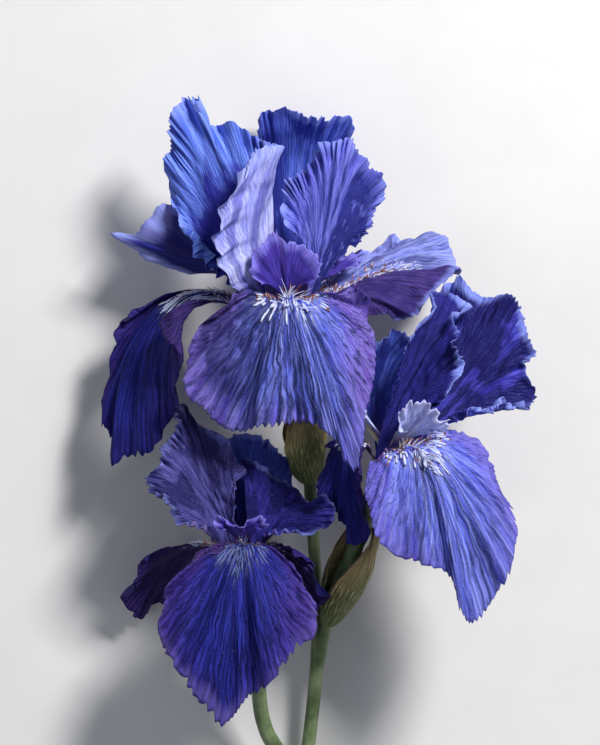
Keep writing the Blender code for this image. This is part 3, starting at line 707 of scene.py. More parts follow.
    def fine(self, t: np.ndarray, v: np.ndarray) -> tuple[np.ndarray, np.ndarray]:
        """A place on the finished petal, in metres, and the depth of its grooves there.

        To the ruffled petal it adds, along the face's direction: a slow unevenness, a crumple, the vein
        grooves, a frill, a crimp, a hem, a curl and a roll. The frill is a sine wave whose size varies with
        noise and which grows towards the margin, the crimp is a finer one in bunches, and the hem is two
        along the side edges. The curl bends the last part of the vein forwards or back, by noise, and draws
        it in.

        Args:
            t: How far along the veins, from 0 to 1.
            v: Which vein, from -1 to 1.

        Returns:
            The places and the groove depths.
        """
        look, noise = self.petal.look, self.noise
        curl = look.curl * noise(5 * v, 0, 9) * smooth_step(self.petal.habit.curl_from, 1.0, t) ** 1.4
        drawn_in = look.notch * self.teeth(v) * smooth_step(0.72, 1.0, t) + 0.006 * np.abs(curl)
        place, face = self.ruffled(t * (1 - drawn_in), v)
        grooves = self.pleats(t, v)
        uneven = 1.1 * noise(2.6 * v, 3.1 * t, 3) + look.unevenness * noise(8 * v, 2 * t, 10)
        strength = 0.35 + 1.05 * np.abs(noise(4.5 * v, 0.7 * t, 4))
        busy = np.clip(1 + look.busier_right * v, 0.15, 1.8)
        turn = math.pi * look.frills * (v + 0.12 * noise(5 * v, 2 * t, 7) + 0.1 * noise(2.1 * v, 0, 15))
        frill = look.frill * busy * strength * np.sin(turn + 0.8 * t) * smooth_step(0.5, 1.0, t) ** look.onset
        bunch = np.clip(0.5 + 1.3 * noise(6 * v, 0, 14), 0, 1.4)
        crimp = look.crimp * busy * bunch * np.sin(2.7 * turn + 1.3 + 1.5 * t)
        crimp = crimp * smooth_step(0.87, 1.0, t) ** 1.3
        run = 2 * math.pi * look.hems * (t + 0.06 * noise(9 * t, 0, 12)) + look.seed
        hem = look.hem * np.abs(v) ** look.hold * (np.sin(run) + 0.4 * np.sin(2.3 * run))
        crumple = look.crumple * (noise(8 * v, 15 * t, 13) + 0.6 * noise(20 * v, 26 * t, 16))
        roll = look.roll * smooth_step(0.3, 0.5, v) * smooth_step(0.87, 1.0, t) ** 1.5
        shift = (
            uneven * smooth_step(0.15, 0.6, t) + crumple * smooth_step(0.25, 0.6, t) + frill + crimp
            + hem * smooth_step(0.15, 0.5, t) + curl - roll - look.pleat * grooves
        )
        return self.bloom.in_world(place + face * shift[..., None]), grooves

    def off_face(self, t: np.ndarray, v: np.ndarray, height: float) -> tuple[np.ndarray, ...]:
        """Places just off the finished upper face, with the directions of the face and of the veins.

        Args:
            t: How far along the veins, from 0 to 1.
            v: Which vein, from -1 to 1.
            height: How far off the face the places are, in millimetres.

        Returns:
            The places in metres, the face's directions and the veins' directions.
        """
        here, _ = self.fine(t, v)
        ahead, _ = self.fine(np.clip(t + self.REACH, 0, 1), v)
        aside, _ = self.fine(t, np.clip(v + self.REACH, -1, 1))
        along = unit(ahead - here)
        face = unit(np.cross(along, aside - here))
        return here + face * height * MM, face, along


def mesh_of(name: str, places: np.ndarray, faces: list[np.ndarray]) -> bpy.types.Mesh:
    """A smooth mesh with these places as its vertices and each row of each array as a face.

    Args:
        name: The mesh's name.
        places: One row for each vertex, in metres.
        faces: Arrays of vertex numbers, each array with faces of one size.

    Returns:
        The new mesh.
    """
    mesh = bpy.data.meshes.new(name)
    corners = np.concatenate([rows.ravel() for rows in faces]).astype(np.int32)
    totals = np.concatenate([np.full(len(rows), rows.shape[1]) for rows in faces])
    starts = (np.cumsum(totals) - totals).astype(np.int32)
    mesh.vertices.add(len(places))
    mesh.vertices.foreach_set("co", places.astype(np.float32).ravel())
    mesh.loops.add(len(corners))
    mesh.loops.foreach_set("vertex_index", corners)
    mesh.polygons.add(len(totals))
    mesh.polygons.foreach_set("loop_start", starts)
    mesh.update(calc_edges=True)
    mesh.shade_smooth()
    return mesh


def add_measure(mesh: bpy.types.Mesh, name: str, values: np.ndarray) -> None:
    """Stores a number or a vector at each vertex, for the materials to read."""
    kind, part = ("FLOAT", "value") if values.ndim == 1 else ("FLOAT_VECTOR", "vector")
    mesh.attributes.new(name, kind, "POINT").data.foreach_set(part, values.astype(np.float32).ravel())


def sheet_grid(share: np.ndarray, columns: int) -> tuple[np.ndarray, np.ndarray]:
    """The t and v of every place on a sheet, for the t of its rows and a number of columns."""
    t, v = np.meshgrid(share, np.linspace(-1, 1, columns), indexing="ij")
    return t, v


def sheet_mesh(
    name: str, middle: np.ndarray, walls: tuple[float, float], v: np.ndarray, t: np.ndarray,
    groove: np.ndarray,
) -> bpy.types.Mesh:
    """A closed thin sheet: the grid moved half a wall up its normals, half a wall down, and a rim round it.

    Args:
        name: The mesh's name.
        middle: The grid of places that runs through the middle of the sheet, in metres.
        walls: The sheet's thickness in millimetres where t is 0 and where it is 1.
        v: The vein that each place lies on.
        t: How far along it each place lies.
        groove: The depth of the vein grooves at each place.

    Returns:
        The mesh, with the measures vein, whose third value is 1 on the upper face, and groove.
    """
    face = unit(np.cross(np.gradient(middle, axis=0), np.gradient(middle, axis=1)))
    half = face * (0.5 * MM * (walls[0] + (walls[1] - walls[0]) * t))[..., None]
    rows, columns = middle.shape[:2]
    index = np.arange(rows * columns).reshape(rows, columns)
    near, right, far, up = index[:-1, :-1], index[:-1, 1:], index[1:, 1:], index[1:, :-1]
    top = np.stack([near, up, far, right], -1).reshape(-1, 4)
    bottom = np.stack([near, right, far, up], -1).reshape(-1, 4) + index.size
    ring = np.concatenate([index[:-1, 0], index[-1, :-1], index[:0:-1, -1], index[0, :0:-1]])
    ahead = np.roll(ring, -1)
    rim = np.stack([ahead, ring, ring + index.size, ahead + index.size], -1)
    places = np.concatenate([(middle + half).reshape(-1, 3), (middle - half).reshape(-1, 3)])
    mesh = mesh_of(name, places, [top, bottom, rim])
    sides = np.repeat([1.0, 0.0], index.size)
    add_measure(mesh, "vein", np.column_stack([np.tile(v.ravel(), 2), np.tile(t.ravel(), 2), sides]))
    add_measure(mesh, "groove", np.tile(groove.ravel(), 2))
    return mesh


def ring_turns(sides: int) -> np.ndarray:
    """The angles of a ring's corners, in radians."""
    return 2 * math.pi * np.arange(sides) / sides


def tubes_mesh(
    name: str, paths: np.ndarray, radii: np.ndarray, sides: int, kind: np.ndarray
) -> bpy.types.Mesh:
    """Closed tubes: a ring of places round each point of each path, square to it, with flat caps.

    Args:
        name: The mesh's name.
        paths: The paths' points in metres, as tubes by points by 3.
        radii: The tubes' radii in metres, as tubes by points, or as tubes by points by sides.
        sides: How many sides a tube has.
        kind: One number for each tube, kept for the material.

    Returns:
        The mesh, with the measures run, from 0 at a tube's root to 1 at its tip, and kind.
    """
    count, points = paths.shape[:2]
    tangent = unit(np.gradient(paths, axis=1))
    aside = unit(np.cross(tangent, unit(np.array((0.93, 0.31, 0.19)))))
    other = np.cross(tangent, aside)
    turn = ring_turns(sides)
    radii = radii[..., None] if radii.ndim == 2 else radii
    spoke = np.cos(turn)[:, None] * aside[:, :, None] + np.sin(turn)[:, None] * other[:, :, None]
    places = paths[:, :, None] + radii[..., None] * spoke
    index = np.arange(count * points * sides).reshape(count, points, sides)
    beside = np.roll(index, -1, axis=2)
    walls = np.stack([index[:, :-1], beside[:, :-1], beside[:, 1:], index[:, 1:]], -1).reshape(-1, 4)
    mesh = mesh_of(name, places.reshape(-1, 3), [walls, index[:, 0, ::-1], index[:, -1]])
    run = np.broadcast_to(np.linspace(0, 1, points)[None, :, None], index.shape)
    add_measure(mesh, "run", run.ravel())
    add_measure(mesh, "kind", np.broadcast_to(kind[:, None, None], index.shape).ravel())
    return mesh


def swept_mesh(name: str, path: np.ndarray, radii: np.ndarray, kind: float) -> bpy.types.Mesh:
    """One closed tube along a path in metres, with its radii in millimetres as points by sides."""
    return tubes_mesh(name, path[None], radii[None] * MM, radii.shape[1], np.full(1, kind))


def node_sum(operation: str, turned: bool = False) -> Callable[..., "Value"]:
    """A method of Value that adds one sum on numbers, with the value last if it is turned."""
    def method(value: "Value", *others: object) -> "Value":
        """The sum's result."""
        return value.board.math(operation, *((*others, value) if turned else (value, *others)))

    return method


class Value:
    """A number, a vector or a colour that a node puts out. A sum on it adds a node to its board."""

    def __init__(self, board: "Board", socket: bpy.types.NodeSocket) -> None:
        """Keeps the board and the node's socket."""
        self.board = board
        self.socket = socket

    __add__ = node_sum("ADD")
    __sub__ = node_sum("SUBTRACT")
    __rsub__ = node_sum("SUBTRACT", turned=True)
    __mul__ = node_sum("MULTIPLY")
    __truediv__ = node_sum("DIVIDE")
    __pow__ = node_sum("POWER")
    __abs__ = node_sum("ABSOLUTE")

    def step(self, low: float, high: float, start: float = 0.0, end: float = 1.0) -> "Value":
        """A smooth step from start, where the value is low, to end, where it is high.

        Args:
            low: Where the step starts, or ends if it is above high.
            high: Its other end.
            start: The result at low.
            end: The result at high.

        Returns:
            The step's result.
        """
        falls = low > high
        made = self.board.node("ShaderNodeMapRange", interpolation_type="SMOOTHSTEP")
        self.board.feed(made.inputs["Value"], self)
        for name, number in (
            ("From Min", min(low, high)), ("From Max", max(low, high)),
            ("To Min", end if falls else start), ("To Max", start if falls else end),
        ):
            made.inputs[name].default_value = number
        return Value(self.board, made.outputs["Result"])


class Board:
    """Lays nodes out on one node tree and joins them."""

    ROW, STEP, DROP = 12, 180, 220

    def __init__(self, tree: bpy.types.NodeTree) -> None:
        """Takes the tree to work on."""
        self.tree = tree

    def node(self, kind: str, **settings: object) -> bpy.types.Node:
        """A new node of a kind, with its settings."""
        made = self.tree.nodes.new(kind)
        row, place = divmod(len(self.tree.nodes), self.ROW)
        made.location = (self.STEP * place, -self.DROP * row)
        for name, value in settings.items():
            setattr(made, name, value)
        return made

    def feed(self, socket: bpy.types.NodeSocket, value: object) -> None:
        """Joins a socket to a value, or sets its own: a swatch where it takes a colour."""
        if isinstance(value, Value):
            self.tree.links.new(value.socket, socket)
        else:
            socket.default_value = linear_colour(value) if socket.type == "RGBA" else value

    def fill(self, node: bpy.types.Node, values: dict[str, object]) -> None:
        """Feeds a node's inputs by their names."""
        for name, value in values.items():
            self.feed(node.inputs[name], value)

    def outputs(self, node: bpy.types.Node) -> dict[str, Value]:
        """What a node puts out, by name."""
        return {socket.name: Value(self, socket) for socket in node.outputs}

    def math(self, operation: str, *values: object) -> Value:
        """The result of one sum on numbers."""
        made = self.node("ShaderNodeMath", operation=operation)
        for socket, value in zip(made.inputs, values):
            self.feed(socket, value)
        return Value(self, made.outputs[0])

    def largest(self, first: Value, *others: Value) -> Value:
        """The largest of some numbers."""
        for other in others:
            first = self.math("MAXIMUM", first, other)
        return first

    def mix(self, share: Value, low: object, high: object) -> Value:
        """A colour between two colours. The mix node takes them at inputs 6 and 7."""
        made = self.node("ShaderNodeMix", data_type="RGBA", clamp_factor=True)
        for socket, value in zip((made.inputs[0], made.inputs[6], made.inputs[7]), (share, low, high)):
            self.feed(socket, value)
        return Value(self, made.outputs[2])

    def layered(self, colour: object, *layers: tuple[Value, object]) -> Value:
        """A colour with others laid over it in turn, each given as its share and itself."""
        for share, over in layers:
            colour = self.mix(share, colour, over)
        return colour

    def apart(self, vector: Value) -> tuple[Value, ...]:
        """The three numbers of a vector."""
        made = self.node("ShaderNodeSeparateXYZ")
        self.feed(made.inputs[0], vector)
        return tuple(self.outputs(made).values())

    def noise(self, place: Value, scale: float, detail: float, roughness: float) -> Value:
        """Noise from 0 to 1 at a place."""
        made = self.node("ShaderNodeTexNoise")
        self.fill(made, {"Vector": place, "Scale": scale, "Detail": detail, "Roughness": roughness})
        return Value(self, made.outputs[0])

    def grain(self, *place: object, detail: float = 2.0, roughness: float = 0.5) -> Value:
        """Noise from 0 to 1 at a place that is given as two or three numbers."""
        made = self.node("ShaderNodeCombineXYZ")
        for socket, value in zip(made.inputs, place):
            self.feed(socket, value)
        return self.noise(Value(self, made.outputs[0]), 1.0, detail, roughness)

    def measure(self, name: str, output: str = "Fac") -> Value:
        """What a mesh stores at its vertices under a name."""
        return self.outputs(self.node("ShaderNodeAttribute", attribute_name=name))[output]

    def place(self) -> Value:
        """The place on the object, in metres."""
        return self.outputs(self.node("ShaderNodeTexCoord"))["Object"]

    def group(self, tree: bpy.types.NodeTree, **values: object) -> dict[str, Value]:
        """What a shared group puts out, with its inputs fed by name."""
        made = self.node("ShaderNodeGroup", node_tree=tree)
        self.fill(made, values)
        return self.outputs(made)

    def bump(self, height: Value, strength: float, distance: float) -> Value:
        """The normal of a finely raised surface."""
        made = self.node("ShaderNodeBump")
        self.fill(made, {"Height": height, "Strength": strength, "Distance": distance})
        return Value(self, made.outputs[0])


def new_group(
    name: str, inputs: tuple[str, ...], outputs: tuple[str, ...]
) -> tuple[Board, dict[str, Value], bpy.types.Node]:
    """An empty shared group. Vein and Place are vectors, and all else that goes in or out is a number.

    Args:
        name: The group's name.
        inputs: Its inputs' names.
        outputs: Its outputs' names.

    Returns:
        A board on the group, what comes in by name, and the group's output node.
    """
    tree = bpy.data.node_groups.new(name, "ShaderNodeTree")
    for way, labels in (("INPUT", inputs), ("OUTPUT", outputs)):
        for label in labels:
            kind = "NodeSocketVector" if label in ("Vein", "Place") else "NodeSocketFloat"
            tree.interface.new_socket(name=label, in_out=way, socket_type=kind)
    board = Board(tree)
    return board, board.outputs(board.node("NodeGroupInput")), board.node("NodeGroupOutput")


class SharedEffects:
    """The effects that several finishes use, each a shader node group that is built once."""

    def __init__(self) -> None:
        """Builds the groups."""
        self.vein_lines = self.build_vein_lines()
        self.tissue = self.build_tissue()
        self.ribs = self.build_ribs()

    def lines(self, board: Board, vein: Value, *values: float) -> Value:
        """How strong the vein lines are on a finish's board, by their count, wander, width and start."""
        given = dict(zip(("Count", "Wander", "Width", "Start"), values))
        return board.group(self.vein_lines, Vein=vein, **given)["Mask"]

    @staticmethod
    def flared(v: Value, t: Value) -> Value:
        """The vein that a place lies on, as veins turn outwards on their way to the margin."""
        return v * (1.0 - t ** 2.0 * FLARE)

    def build_vein_lines(self) -> bpy.types.NodeTree:
        """Thin forked lines along the veins: where the vein's number, bent by noise, is nearly whole.

        Returns:
            The group.
        """
        board, given, made = new_group("vein_lines", ("Vein", "Count", "Wander", "Width", "Start"), ("Mask",))
        v, t, _ = board.apart(given["Vein"])
        v = self.flared(v, t)
        slow, waver = board.grain(v * 2.6, t * 2.6), board.grain(v * 8.0, t * 15.0, detail=1.0)
        number = v * given["Count"] + (waver * 1.1 + slow * given["Wander"])
        arms = []
        for apart in (-0.25, 0.25):
            arm = number + t.step(0.3, 0.85, 0.0, apart)
            off = abs(board.math("FRACT", arm) - 0.5)
            line = (off * 2.0 - 1.0) / given["Width"] + 1.0
            fade = board.grain(arm * 0.9, t * 5.0, apart).step(0.32, 0.6, 0.12, 1.0)
            arms.append(line.step(0.0, 0.85) * fade)
        begun = (t - given["Start"]).step(0.0, 0.14)
        board.fill(made, {"Mask": board.largest(*arms) * begun})
        return board.tree

    def build_tissue(self) -> bpy.types.NodeTree:
        """Petal tissue: streaks and ticks along the veins, slow clouds, and fine cells that carry painted
        glints.

        Returns:
            The group.
        """
        board, given, made = new_group("petal_tissue", ("Vein", "Place"), ("Streak", "Tick", "Cloud", "Cell"))
        v, t, side = board.apart(given["Vein"])
        bent = self.flared(v, t)
        board.fill(made, {
            "Streak": board.grain(v * 42.0, t * 3.4, side, detail=5.0, roughness=0.62),
            "Tick": board.grain(bent * 60.0, t * 15.0, side, detail=3.0, roughness=0.6),
            "Cloud": board.grain(bent * 3.0, t * 3.6, side, detail=3.0),
            "Cell": board.noise(given["Place"], 1700.0, 2.0, 0.6),
        })
        return board.tree

    def build_ribs(self) -> bpy.types.NodeTree:
        """Ribs of a bract: soft ridges across v, bent by noise, and fibres along the length."""
        board, given, made = new_group("ribs", ("Vein", "Count"), ("Rib", "Fibre"))
        v, t, _ = board.apart(given["Vein"])
        number = v * given["Count"] + board.grain(v * 2.0, t * 3.0) * 1.5
        ridge = abs(board.math("SINE", number * math.pi)) ** 0.6
        fibre = board.grain(v * 30.0, t * 6.0, detail=5.0, roughness=0.65)
        board.fill(made, {"Rib": ridge, "Fibre": fibre})
        return board.tree


@dataclass(frozen=True)
class Finish:
    """A finish, whose subclasses say what goes into its Principled shader."""

    name: str

    def inputs(self, board: Board, shared: SharedEffects) -> dict[str, object]:
        """The shader's inputs by name, here none. Subclasses build them on the board.

        Args:
            board: The board of the finish's material.
            shared: The groups that the finishes share.

        Returns:
            The inputs by their names.
        """
        return {}

    def material(self, shared: SharedEffects) -> bpy.types.Material:
        """Builds the material, with the groups that the finishes share."""
        material = bpy.data.materials.new(self.name)
        material.use_nodes = True
        board = Board(material.node_tree)
        board.fill(material.node_tree.nodes["Principled BSDF"], self.inputs(board, shared))
        return material


@dataclass(frozen=True)
class PetalFinish(Finish):
    """The colours of one sort of petal.

    body, light and heart are the upper face between its veins, where it is lit and near the beard, margin
    is its outer part and edge a painted highlight on its very edge, groove is its veins and grooves and
    the colour of the painted shade, underside and underside_light are the lower face between its veins and
    where it is lit, painted_glint is the colour of painted glints on fine cells, and haft and haft_line
    are the part that carries the beard.

    heart_reach is how far along the veins the heart's colour goes. line_count is half the number of veins,
    and side_lines how strong they are at the sides. shadow_mottle is the strength of dark patches of
    painted shadow, and shadow_mottle_edges the noise where a patch starts and where it is full.
    painted_shade is the vein where a painted shade starts, the vein where it is full, and its strength,
    and claw_shadow is the strength of a painted shadow on the claw of the lower face. rib_lines is the
    strength of the two dark lines beside the vein rib_at, rim that of the painted highlight along the
    edge, and dashes that of the pale strokes round the beard. Left of the vein turned, the upper face
    shows the lower face's colours, as if it were folded over.
    """

    body: Colour
    light: Colour
    heart: Colour
    margin: Colour
    groove: Colour
    underside: Colour
    underside_light: Colour
    # The colour of painted glints on fine cells
    painted_glint: Colour = (178, 186, 250)
    # A painted highlight on the very edge
    edge: Colour = (148, 164, 250)
    haft: Colour = (96, 52, 74)
    haft_line: Colour = (40, 12, 40)
    dash: Colour = (214, 222, 246)
    heart_reach: float = 0.55
    margin_strength: float = 0.6
    groove_strength: float = 0.8
    line_strength: float = 0.5
    line_count: float = 26.0
    side_lines: float = 1.0
    rib_at: float = 0.0
    # The strength of dark patches of painted shadow
    shadow_mottle: float = 0.0
    # Where a painted shade starts and is full across the veins, and its strength
    painted_shade: tuple[float, float, float] = (2.0, 3.0, 0.0)
    # The strength of a painted shadow on the claw of the lower face
    claw_shadow: float = 0.0
    # The noise where a patch of painted shadow starts and where it is full
    shadow_mottle_edges: tuple[float, float] = (0.5, 0.62)
    rib_lines: float = 0.0
    # The strength of a painted highlight along the edge
    rim: float = 0.0
    turned: float = -2.0
    dashes: float = 0.0
    roughness: float = 0.58

    def inputs(self, board: Board, shared: SharedEffects) -> dict[str, object]:
        """The shader's inputs, from veins, tissue, grooves and the zones between claw and margin.

        Args:
            board: The board of the finish's material.
            shared: The groups that the finishes share.

        Returns:
            The inputs by their names.
        """
        vein = board.measure("vein", "Vector")
        v, t, side = board.apart(vein)
        off, side = abs(v), side * v.step(self.turned - 0.1, self.turned + 0.1)
        tissue = board.group(shared.tissue, Vein=vein, Place=board.place())
        streak, cloud, cell = tissue["Streak"].step(0.3, 0.7), tissue["Cloud"], tissue["Cell"]
        glint, ended = cell.step(0.25, 0.75), cloud * 0.3 + t

        # Veins and grooves
        lines = shared.lines(board, vein, self.line_count, 2.4, 0.36, 0.12)
        fine_lines = shared.lines(board, vein, 2.1 * self.line_count, 5.0, 0.5, 0.36)
        ticks = tissue["Tick"].step(0.48, 0.66, 0.0, 0.9 * self.line_strength)
        inward = off.step(0.5, 0.2, self.side_lines, 1.0) * self.line_strength
        # The groove colour in the pleats' valleys: partly the veins' own colour, partly painted shade in the
        # creases
        deep = board.measure("groove").step(0.1, 0.9) * self.groove_strength * t.step(1.0, 0.6, 0.25, 1.0)

        # Painted shade: patches of shadow, a shaded part across the veins, and a shadow on the claw
        patch = board.grain(v * 3.1, t * 3.4, detail=3.0).step(*self.shadow_mottle_edges) * self.shadow_mottle
        spots = board.grain(v * 7.0, t * 9.0, detail=3.0)
        shade_from, shade_full, strength = self.painted_shade
        painted_shade = v.step(shade_from, shade_full) * spots.step(0.66, 0.56, 0.2, 1.0) * strength
        painted_shade = painted_shade * ended.step(1.13, 1.05, 0.15, 1.0)
        claw = (spots * 0.3 + t).step(1.0, 0.92) * self.claw_shadow * (1.0 - side)
        beside = abs(abs(v - self.rib_at) - 0.075).step(0.045, 0.015) * t.step(0.98, 0.84) * self.rib_lines

        # Zones from the haft to the edge
        heart = (cloud * 0.3 + off * 0.25 + t).step(self.heart_reach + 0.3, self.heart_reach)
        outer = (off * 0.55 + cloud * 0.8 + t).step(1.3, 1.75) * self.margin_strength
        # A painted highlight along the very edge
        pale = ended.step(1.11, 1.17) * self.rim
        haft = board.mix(shared.lines(board, vein, 11.0, 1.4, 0.7, -0.2), self.haft, self.haft_line)

        upper = board.layered(
            board.mix(streak, self.body, self.light), (heart, self.heart), (outer, self.margin),
            (ticks, self.groove), (lines * inward, self.groove), (fine_lines * inward * 0.8, self.groove),
            (deep, self.groove), (patch, self.groove), (pale, self.edge),
            ((off * -0.13 + t).step(0.34, 0.24), haft),
        )
        if self.dashes:
            upper = board.mix(self.dash_mask(board, shared, vein), upper, self.dash)
        lower = board.layered(
            board.mix(streak, self.underside, self.underside_light), (ticks * 0.7, self.groove),
            (lines * (0.8 * self.line_strength), self.groove),
            (fine_lines * (0.6 * self.line_strength), self.groove), (patch, self.groove), (pale, self.edge),
        )
        # Painted glints on fine cells, then the painted shade and shadows, with the dark lines by the rib,
        # over all
        colour = board.layered(
            lower, (side, upper), (glint * 0.16, board.mix(side, self.underside_light, self.light)),
            (cell.step(0.7, 0.76, 0.0, 0.5), self.painted_glint), (board.largest(claw, painted_shade, beside), self.groove),
        )
        height = tissue["Streak"] * 0.7 + glint * 0.25 - lines * 0.4
        return {
            "Base Color": colour,
            "Roughness": cell.step(0.2, 0.8, self.roughness + 0.1, self.roughness - 0.1),
            "Normal": board.bump(height, 0.75, 0.6 * MM), "Specular IOR Level": 0.12,
            "Sheen Weight": 0.02, "Sheen Roughness": 0.45, "Sheen Tint": (190, 195, 255),
            "Subsurface Weight": 0.12, "Subsurface Scale": 1.2 * MM, "Subsurface Radius": (0.5, 0.4, 1.0),
        }

    def dash_mask(self, board: Board, shared: SharedEffects, vein: Value) -> Value:
        """Where the pale strokes lie that fan out round the beard: lines along the veins, cut by noise."""
        v, t, _ = board.apart(vein)
        cut = board.grain(v * 15.0, t * 7.0, detail=1.0).step(0.42, 0.56)
        zone = t.step(0.34, 0.42) * t.step(0.68, 0.52) * self.dashes
        return shared.lines(board, vein, 17.0, 1.0, 0.66, 0.28) * cut * zone


NAVY = (6, 8, 66)
# The top bloom's front fall: painted shade darkens its left half
FALL_MAIN = PetalFinish(
    "fall_main", body=(34, 50, 196), light=(146, 162, 255), heart=(10, 42, 214), margin=(136, 80, 168),
    groove=NAVY, underside=(70, 46, 110), underside_light=(108, 78, 150), haft=(168, 146, 176),
    haft_line=(92, 34, 16), dashes=0.95, groove_strength=1.0, line_strength=1.0, line_count=18.0,
    side_lines=0.35, margin_strength=0.6, painted_shade=(0.0, -0.5, 0.7),
)
# The left bloom's left standard: dark colours, partly its own and partly painted shade, with patches of
# painted shadow and a painted highlight along its edge
STANDARD_VIOLET = PetalFinish(
    "standard_violet", body=(58, 54, 132), light=(140, 128, 194), heart=(16, 14, 84),
    margin=(148, 130, 196), groove=(9, 9, 70), underside=(32, 32, 108), underside_light=(112, 106, 184),
    rim=0.35, shadow_mottle=0.85, shadow_mottle_edges=(0.47, 0.55), haft=(80, 54, 132), haft_line=(36, 16, 88),
    heart_reach=0.7, margin_strength=0.8, groove_strength=0.65, line_strength=0.55, line_count=24.0,
)
PETAL_FINISHES = (
    FALL_MAIN,
    # A lit copy of fall_main for the right bloom's front fall: lighter colours as painted light, and no
    # painted shade
    replace(
        FALL_MAIN, name="fall_lit", body=(52, 66, 222), light=(156, 170, 255), margin=(112, 88, 190),
        margin_strength=0.7, groove_strength=0.85, line_strength=0.65, painted_shade=(2.0, 3.0, 0.0),
    ),
    # The left bloom's front fall: darker colours, partly its own and partly painted shade, with a painted
    # highlight on its edge
    PetalFinish(
        "fall_low_shaded", body=(15, 20, 112), light=(60, 68, 194), heart=(6, 14, 116), margin=(96, 62, 146),
        groove=(5, 6, 54), underside=(48, 30, 90), underside_light=(86, 60, 136), haft=(112, 104, 166),
        haft_line=(50, 24, 40), edge=(150, 134, 222), dashes=0.3, groove_strength=1.0, line_strength=0.95,
        line_count=19.0, side_lines=0.6, margin_strength=0.7, rim=0.25,
    ),
    # Falls in shadow, the top bloom's left fall and the hidden ones: colours darkened as painted shade
    PetalFinish(
        "fall_shaded", body=(14, 18, 104), light=(48, 56, 170), heart=(6, 16, 114), margin=(72, 44, 122),
        groove=NAVY, underside=(40, 26, 84), underside_light=(74, 52, 124), haft=(140, 116, 156),
        haft_line=(70, 28, 26), dashes=0.8, line_strength=0.8, line_count=22.0, margin_strength=0.7,
    ),
    # The top bloom's right fall: patches of painted shadow, a painted highlight along its edge and dim
    # painted glints
    PetalFinish(
        "fall_pale", body=(96, 108, 222), light=(178, 190, 255), heart=(84, 92, 214), margin=(140, 150, 240),
        groove=(26, 20, 92), underside=(34, 18, 60), underside_light=(90, 72, 154), haft=(150, 124, 160),
        haft_line=(90, 40, 24), dashes=0.2, groove_strength=0.6, rim=0.55, shadow_mottle=0.55, turned=0.0,
        painted_glint=(130, 126, 200),
    ),
    # Top left standard: painted shadow on its claw, patches of painted shadow, a painted highlight on its
    # edge; its pale upper face on the folded column is partly its own colour and partly painted light
    PetalFinish(
        "standard_sky", body=(152, 156, 255), light=(222, 228, 255), heart=(100, 86, 228),
        margin=(146, 154, 252), groove=(38, 32, 144), underside=(56, 86, 202),
        underside_light=(132, 162, 250), rib_lines=0.6, rib_at=0.8, rim=0.5, shadow_mottle=0.3, claw_shadow=0.9,
        turned=0.35, haft=(96, 80, 168), haft_line=(44, 30, 116), margin_strength=0.5, groove_strength=0.5,
        line_strength=0.3, line_count=26.0,
    ),
    # The top bloom's right standard: a painted shadow broken by spots over its right part, patches of painted
    # shadow, and a painted highlight along its edge
    PetalFinish(
        "standard_lavender", body=(106, 92, 236), light=(194, 188, 255), heart=(84, 60, 210),
        margin=(120, 136, 234), groove=(18, 26, 114), underside=(88, 86, 202),
        underside_light=(134, 142, 238), rib_lines=0.8, rim=0.6, shadow_mottle=0.3, painted_shade=(0.17, 0.25, 0.88),
        haft=(92, 68, 156), haft_line=(42, 22, 104), margin_strength=0.5, groove_strength=0.6,
        line_strength=0.45, line_count=24.0,
    ),
    # The right bloom's right standard: a navy heart as painted shade in its cup, sharp patches of painted
    # shadow, and a painted highlight along its edge
    PetalFinish(
        "standard_dappled_shade", body=(42, 36, 154), light=(100, 94, 226), heart=(22, 16, 102),
        margin=(92, 110, 226), groove=(7, 7, 60), underside=(40, 36, 152), underside_light=(98, 96, 222),
        haft=(76, 50, 134), haft_line=(30, 14, 86), rim=0.9, heart_reach=0.7, margin_strength=0.8,
        groove_strength=0.6, line_strength=0.5, line_count=22.0, shadow_mottle=0.85, shadow_mottle_edges=(0.41, 0.48),
    ),
    # The back standards: painted shade darkens one side, with patches of painted shadow and a painted
    # highlight along the edge
    PetalFinish(
        "standard_blue", body=(58, 82, 208), light=(118, 144, 250), heart=(62, 52, 172),
        margin=(104, 112, 222), groove=(16, 20, 112), underside=(70, 76, 192),
        underside_light=(120, 134, 234), rim=0.7, shadow_mottle=0.2, painted_shade=(0.0, 0.25, 0.85), haft=(86, 64, 148),
        haft_line=(40, 20, 98), margin_strength=0.5, groove_strength=0.65, line_strength=0.55,
        line_count=25.0,
    ),
    # The right bloom's left standard: dark colours as painted shade, with patches of painted shadow and a
    # painted highlight along its edge
    PetalFinish(
        "standard_shaded", body=(14, 18, 94), light=(42, 46, 150), heart=(18, 10, 74), margin=(70, 96, 214),
        groove=(4, 5, 52), underside=(24, 24, 98), underside_light=(54, 52, 152), haft=(72, 48, 130),
        haft_line=(30, 14, 84), rim=1.0, margin_strength=0.7, groove_strength=0.6, line_strength=0.35,
        line_count=18.0, rib_lines=0.75, shadow_mottle=0.5,
    ),
    STANDARD_VIOLET,
    # A darker copy of standard_violet for the left bloom's right standard, darkened as painted shade
    replace(
        STANDARD_VIOLET, name="standard_violet_shaded", body=(17, 15, 98), light=(54, 48, 158), margin=(92, 58, 146),
        underside=(20, 18, 98), underside_light=(62, 56, 158), rim=0.5,
    ),
)


